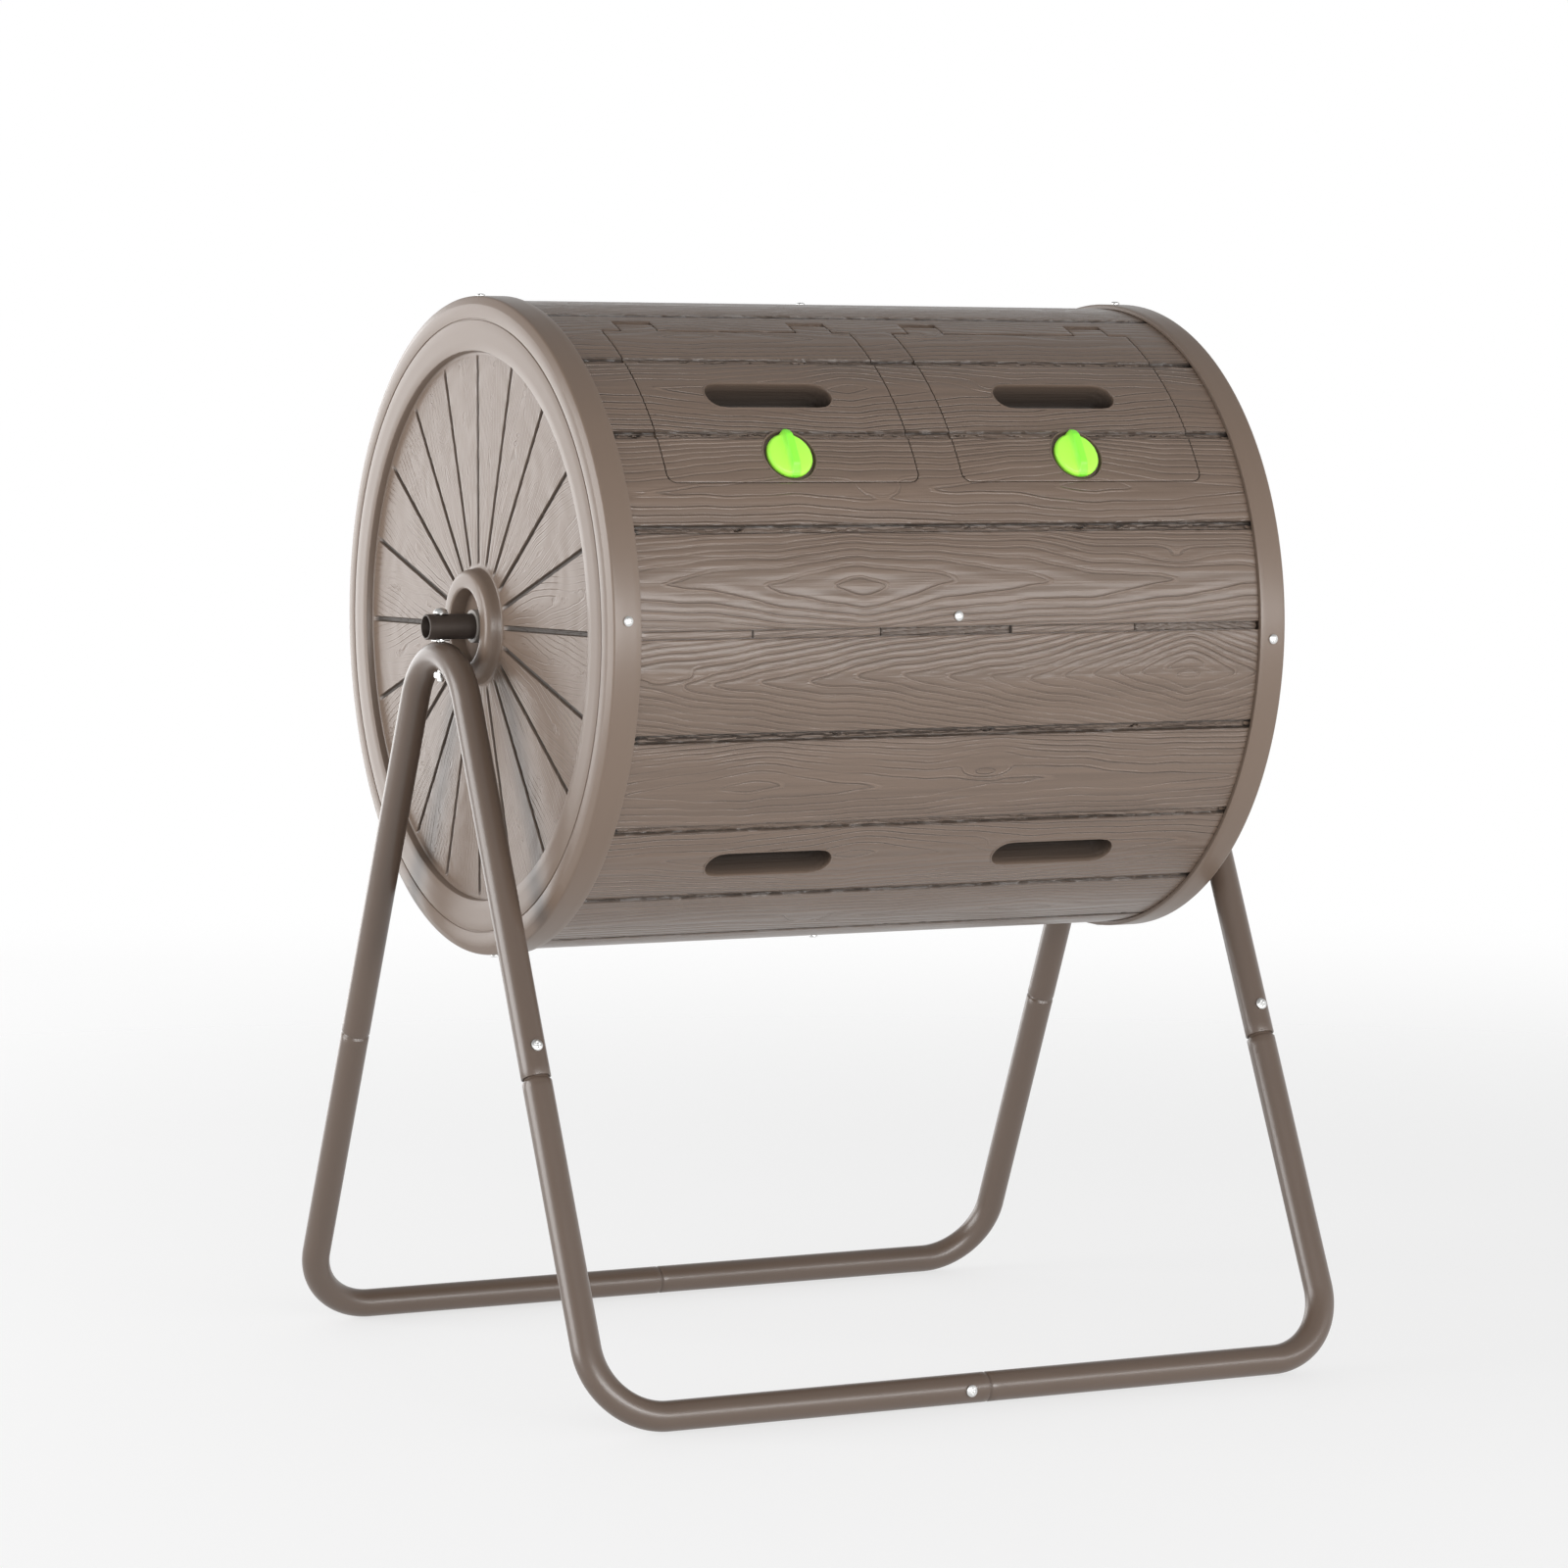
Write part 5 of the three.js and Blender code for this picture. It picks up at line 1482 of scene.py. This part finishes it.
class TUMBLER_OT_fasteners(bpy.types.Operator):
    """Builds the screws, bolts, nuts, washers and hinge pins"""

    bl_idname = "tumbler.fasteners"
    bl_label = "Fasteners"

    def execute(self, context):
        gap = 0.3
        for name, end in ENDS:
            x = end * LEG_X
            for side_name, side in SIDES:
                node = f"leg_screw_{side_name}_{name}"
                place = aimed(leg_screw_point(x, side), leg_out(side))
                screw(Form(), place, 5.0, 2.8, 2.5, 9.0, gap).make(node, "zinc_fastener", "stand", [node])
            for quarter in range(4):
                node = f"band_screw_{name}_{quarter + 1}"
                place = on_drum(end * 310.0, quarter * 90 - end * SCREW_ANGLE)
                form = screw(Form(), place, 4.2, 2.4, 2.1, 12.0, BAND_R + gap)
                form.make(node, "zinc_fastener", "drum", [node])
            self.axle_fastening(name, x)
        for side_name, side in SIDES:
            node = f"rail_screw_{side_name}"
            place = aimed((-15.0, side * (RAIL_Y + TUBE_R), TUBE_R), (0, side, 0))
            screw(Form(), place, 5.0, 2.8, 2.5, 9.0, gap).make(node, "zinc_fastener", "stand", [node])
        for quarter in range(4):
            node = f"mid_screw_{quarter + 1}"
            place = on_drum(0.0, quarter * 90 + SCREW_ANGLE)
            screw(Form(), place, 4.2, 2.4, 2.1, 11.0, SKIN_R + gap).make(node, "zinc_fastener", "drum",
                                                                         [node])
        for name, side in ENDS:
            for number, centre in enumerate(TAB_CENTRES):
                node = f"hinge_pin_{name}_{number + 1}"
                half = TAB_WIDTH / 2 + DOOR_GAP + LUG_WIDTH - 0.5
                profile = [(-half, 0.0), (-half, 1.3), (-half + 0.7, 2.0), (half - 0.7, 2.0), (half, 1.3),
                           (half, 0.0)]
                place = Matrix.Translation((side * centre, HINGE[0], AXIS_Z + HINGE[1]))
                turned(Form(), profile, 24, place, axis="x").make(node, "zinc_fastener", "drum", [node])
        return {"FINISHED"}

    def axle_fastening(self, name, x):
        gap = 0.3
        place = Matrix.Translation((x, 0, 0))
        nut_top = CROWN_TOP - TUBE_R - 3 * gap
        nut_low = nut_top - 5.5
        top = AXIS_Z + AXLE_R + gap
        form = Form()
        profile = [(top + 5.0, 0.0), (top + 4.9, 1.6), (top + 4.4, 3.6), (top + 3.2, 5.3), (top + 1.4, 6.3),
                   (top + 0.5, 6.5), (top, 6.2), (top, 3.0), (nut_low - 2.2, 3.0), (nut_low - 3.0, 2.3),
                   (nut_low - 3.0, 0.0)]
        turned(form, profile, 48, place, axis="z")
        form.make(f"axle_bolt_{name}", "zinc_fastener", "stand", [f"axle_bolt_{name}"])
        low = CROWN_TOP + TUBE_R + gap
        profile = rounded([(low + 0.45, 3.4), (low + 0.9, 3.4), (low + 0.9, 8.0), (low, 8.0), (low, 3.4)],
                          0.25)
        form = turned(Form(), profile, 48, place, axis="z", closed=True)
        form.make(f"saddle_washer_{name}", "zinc_fastener", "stand", [f"saddle_washer_{name}"])
        form = Form()
        sides = 48
        turn = np.arange(sides) * 2 * np.pi / sides
        flat = 5.5 / np.cos((turn % (math.pi / 3)) - math.pi / 6)
        rings = []
        for z, share, cap in ((nut_low + 2.7, 0, 3.4), (nut_low + 0.4, 0, 3.4), (nut_low, 0, 4.0),
                              (nut_low, 1, 5.4), (nut_low + 0.7, 1, 6.2), (nut_low + 1.0, 1, 6.4),
                              (nut_top - 1.0, 1, 6.4), (nut_top - 0.3, 1, 5.6), (nut_top, 1, 4.9),
                              (nut_top, 0, 4.0), (nut_top - 0.4, 0, 3.4)):
            radius = np.minimum(flat, cap) if share else np.full(sides, cap)
            rings.append(np.stack([x + radius * np.cos(turn), radius * np.sin(turn), np.full(sides, z)],
                                  axis=1))
        form.add(np.concatenate(rings), [grid_faces(len(rings), sides, wrap_rows=True, wrap_columns=True)])
        form.make(f"axle_nut_{name}", "zinc_fastener", "stand", [f"axle_nut_{name}"])


class TUMBLER_OT_knobs(bpy.types.Operator):
    """Builds the quarter-turn knobs with their cams and screws"""

    bl_idname = "tumbler.knobs"
    bl_label = "Knobs and latch cams"

    def execute(self, context):
        for name, side in ENDS:
            place = on_drum(side * KNOB_X, KNOB_ANGLE)
            form = Form()
            knob_surface(form, place)
            form.make(f"knob_{name}", "lime_knob", f"knob_{name}", [f"knob_{name}"], crease=50)
            form = Form()
            cam_bar(form, place)
            form.make(f"latch_cam_{name}", "inner_plastic", f"knob_{name}", [f"latch_cam_{name}"])
            form = Form()
            flip = place @ Matrix.Translation((0, 0, CAM_OUTER - 4.8)) @ Matrix.Rotation(math.pi, 4, "X")
            screw(form, flip, 3.4, 1.8, 1.6, 9.0)
            form.make(f"cam_screw_{name}", "zinc_fastener", f"knob_{name}", [f"cam_screw_{name}"])
        return {"FINISHED"}


def knob_surface(form, place):
    """Lime disc with a raised ridge across it, whose nose reaches past the disc at the top."""
    base = SEAT_FLOOR + 0.3
    radius = 20.5
    half = 4.6
    nose = radius + 3.0
    sides = 144
    turn = np.arange(sides) * 2 * np.pi / sides
    c, s = np.cos(turn), np.sin(turn)
    # edge of the disc, and of the ridge where it reaches past the disc
    reach = np.full(sides, radius)
    tip_centre = nose - half
    for k in range(sides):
        if s[k] > 0 and abs(c[k]) * radius < half * 1.05:
            b = tip_centre * s[k]
            inside = half ** 2 - (tip_centre * c[k]) ** 2
            if inside > 0:
                reach[k] = max(radius, b + math.sqrt(inside))
    smooth = np.convolve(np.concatenate([reach[-2:], reach, reach[:2]]), (0.1, 0.2, 0.4, 0.2, 0.1), "valid")
    reach = np.maximum(smooth, radius)
    rings, ridge_marks = [], []
    for share in (0.0, 0.06, 0.12, 0.18, 0.24, 0.3, 0.36, 0.42, 0.48, 0.54, 0.6, 0.66, 0.72, 0.78, 0.84,
                  0.89, 0.93, 0.96, 0.98, 1.0):
        x, y = share * reach * c, share * reach * s
        r = np.hypot(x, y)
        disc = 5.0 + 3.4 * np.sqrt(np.clip(1 - (r / (radius + 0.6)) ** 2, 0, 1))
        line = np.clip((y + radius - 3) / (2 * radius), 0, 1)
        crest = 12.4 + 1.4 * np.sin(line * np.pi * 0.75)
        crest = crest - 4.2 * soft(y, radius - 6.5, nose + 0.5)
        crest = crest - 5.5 * (1 - soft(y, -radius + 0.5, -radius + 9))
        flank = 1 - soft(np.abs(x), half - 1.9, half + 0.9)
        rise = disc + np.maximum(crest - disc, 0) * flank
        rim = soft(share, 0.93, 1.0) * 1.3
        rings.append(np.stack([x, y, base + rise - rim], axis=1))
        ridge_marks.append(flank)
    edge = rings[-1]
    for inset, z in ((-0.12, 3.2), (0.0, 1.2), (0.5, 0.25), (1.2, 0.0)):
        scale = (np.hypot(edge[:, 0], edge[:, 1]) - inset) / np.hypot(edge[:, 0], edge[:, 1])
        low = np.minimum(edge[:, 2], base + z)
        rings.append(np.stack([edge[:, 0] * scale, edge[:, 1] * scale, low], axis=1))
        ridge_marks.append(ridge_marks[19])
    for r, z in ((12.0, base), (6.0, base), (6.0, CAM_OUTER + 0.9), (5.4, CAM_OUTER + 0.3),
                 (2.0, CAM_OUTER + 0.3), (2.0, base + 2)):
        rings.append(np.stack([r * c, r * s, np.full(sides, z)], axis=1))
        ridge_marks.append(np.zeros(sides))
    count = len(rings)
    faces = [grid_faces(count, sides, wrap_columns=True), fan_face(np.arange(sides) + (count - 1) * sides)]
    form.add(moved(np.concatenate(rings), place), faces, ridge=np.concatenate(ridge_marks))
    return form


def cam_bar(form, place):
    """Latch cam: a round boss with a bar that reaches along the axle when released."""
    thickness, reach = 4.5, 35.0
    outline = []
    for k in range(33):
        a = math.pi / 4 + k / 32 * 1.5 * math.pi
        outline.append((9 * math.cos(a), 9 * math.sin(a)))
    outline += [(12.0, -5.5), (reach - 1.6, -5.5), (reach - 0.5, -5.0), (reach, -3.9), (reach, 3.9),
                (reach - 0.5, 5.0), (reach - 1.6, 5.5), (12.0, 5.5)]
    outline = np.array(outline)
    normal = np.roll(outline, -1, 0) - np.roll(outline, 1, 0)
    normal = np.stack([normal[:, 1], -normal[:, 0]], 1)
    normal /= np.linalg.norm(normal, axis=1)[:, None]
    levels = [(0.7, 0.0), (0.2, -0.2), (0.0, -0.7), (0.0, -thickness + 0.7), (0.2, -thickness + 0.2),
              (0.7, -thickness)]
    rings = []
    count = len(outline)
    angle = np.arctan2(outline[:, 1], outline[:, 0])
    bore = np.stack([2.0 * np.cos(angle), 2.0 * np.sin(angle)], 1)
    rings.append(np.column_stack([bore, np.full(count, CAM_OUTER - thickness)]))
    rings.append(np.column_stack([bore, np.full(count, CAM_OUTER)]))
    for inset, z in levels:
        rings.append(np.column_stack([outline - normal * inset, np.full(count, CAM_OUTER + z)]))
    points = moved(np.concatenate(rings), place)
    form.add(points, [grid_faces(len(rings), count, wrap_rows=True, wrap_columns=True)])
    return form


class TUMBLER_OT_stage(bpy.types.Operator):
    """Builds the pale floor, the soft studio lights and the camera"""

    bl_idname = "tumbler.stage"
    bl_label = "Studio"

    def execute(self, context):
        scene = context.scene
        stage = scene.tumbler_stage
        rings = []
        sides = 96
        turn = np.arange(sides) * 2 * np.pi / sides
        drop = 0.3  # below the feet, so the two faces do not fight
        for radius in (0.5, 600.0, 1500.0, 4000.0, 9000.0, 20000.0):
            rings.append(np.stack([radius * np.cos(turn), radius * np.sin(turn), np.full(sides, -drop)],
                                  axis=1))
        points = np.concatenate(rings) * MM
        mesh = bpy.data.meshes.new("studio_floor")
        faces = grid_faces(len(rings), sides, wrap_columns=True, flip=False)
        mesh.from_pydata(points.tolist(), [], [f[::-1] for f in faces.tolist()] + [list(range(sides))])
        mesh.update()
        floor = bpy.data.objects.new("studio_floor", mesh)
        scene.collection.objects.link(floor)
        mesh.materials.append(floor_material(scene.tumbler_colours, stage.floor_glow))

        target = Vector((0.0, 0.0, 0.62))
        self.soft_light("front_light", (-0.4, -3.8, 0.85), target, 3.0, 1.0, stage.key)
        self.soft_light("gleam_light", (1.9, -3.4, 0.80), target, 2.6, 0.6, stage.gleam)
        self.soft_light("left_light", (-3.4, 0.9, 1.1), target, 2.4, 2.2, stage.side)
        self.soft_light("back_light", (-0.9, 3.4, 0.7), target, 2.2, 2.0, stage.side * 0.32)

        scene.world = bpy.data.worlds.new("studio_room")
        room_light(scene.world, stage.room)
        scene.view_settings.view_transform = "Standard"

        camera = bpy.data.objects.new("studio_camera", bpy.data.cameras.new("studio_camera"))
        scene.collection.objects.link(camera)
        camera.location = (-2.139, -4.150, 0.8065)
        camera.rotation_euler = (math.pi / 2 - 0.0646, 0.0, -0.4716)
        camera.data.sensor_width = 36.0
        camera.data.lens = 120.36
        scene.camera = camera
        return {"FINISHED"}

    def soft_light(self, name, place, target, width, height, power):
        data = bpy.data.lights.new(name, "AREA")
        data.shape = "RECTANGLE"
        data.size = width
        data.size_y = height
        data.energy = power
        light = bpy.data.objects.new(name, data)
        light.location = place
        light.rotation_euler = (target - Vector(place)).to_track_quat("-Z", "Y").to_euler()
        bpy.context.scene.collection.objects.link(light)


class TUMBLER_PT_panel(bpy.types.Panel):
    """Tumbler tab of the sidebar"""

    bl_idname = "TUMBLER_PT_panel"
    bl_label = "Compost tumbler"
    bl_space_type = "VIEW_3D"
    bl_region_type = "UI"
    bl_category = "Tumbler"

    def draw(self, context):
        layout = self.layout
        for operator in OPERATORS:
            layout.operator(operator.bl_idname)
        for group in (context.scene.tumbler_sizes, context.scene.tumbler_colours,
                      context.scene.tumbler_stage):
            box = layout.box()
            for key in group.__annotations__:
                box.prop(group, key)


GROUPS = {"tumbler_sizes": TumblerSizes, "tumbler_colours": TumblerColours, "tumbler_stage": TumblerStage}
OPERATORS = (TUMBLER_OT_stage, TUMBLER_OT_panels, TUMBLER_OT_doors, TUMBLER_OT_caps, TUMBLER_OT_bearings,
             TUMBLER_OT_stand, TUMBLER_OT_fasteners, TUMBLER_OT_knobs)


def register():
    for cls in (*GROUPS.values(), *OPERATORS, TUMBLER_PT_panel):
        bpy.utils.register_class(cls)
    for key, group in GROUPS.items():
        setattr(bpy.types.Scene, key, PointerProperty(type=group))


def unregister():
    for key in GROUPS:
        delattr(bpy.types.Scene, key)
    for cls in reversed((*GROUPS.values(), *OPERATORS, TUMBLER_PT_panel)):
        bpy.utils.unregister_class(cls)


def main():
    register()
    for operator in OPERATORS:
        group, name = operator.bl_idname.split(".")
        if getattr(getattr(bpy.ops, group), name)() != {"FINISHED"}:
            raise RuntimeError(f"{operator.bl_label} did not finish")


if __name__ == "__main__":
    main()
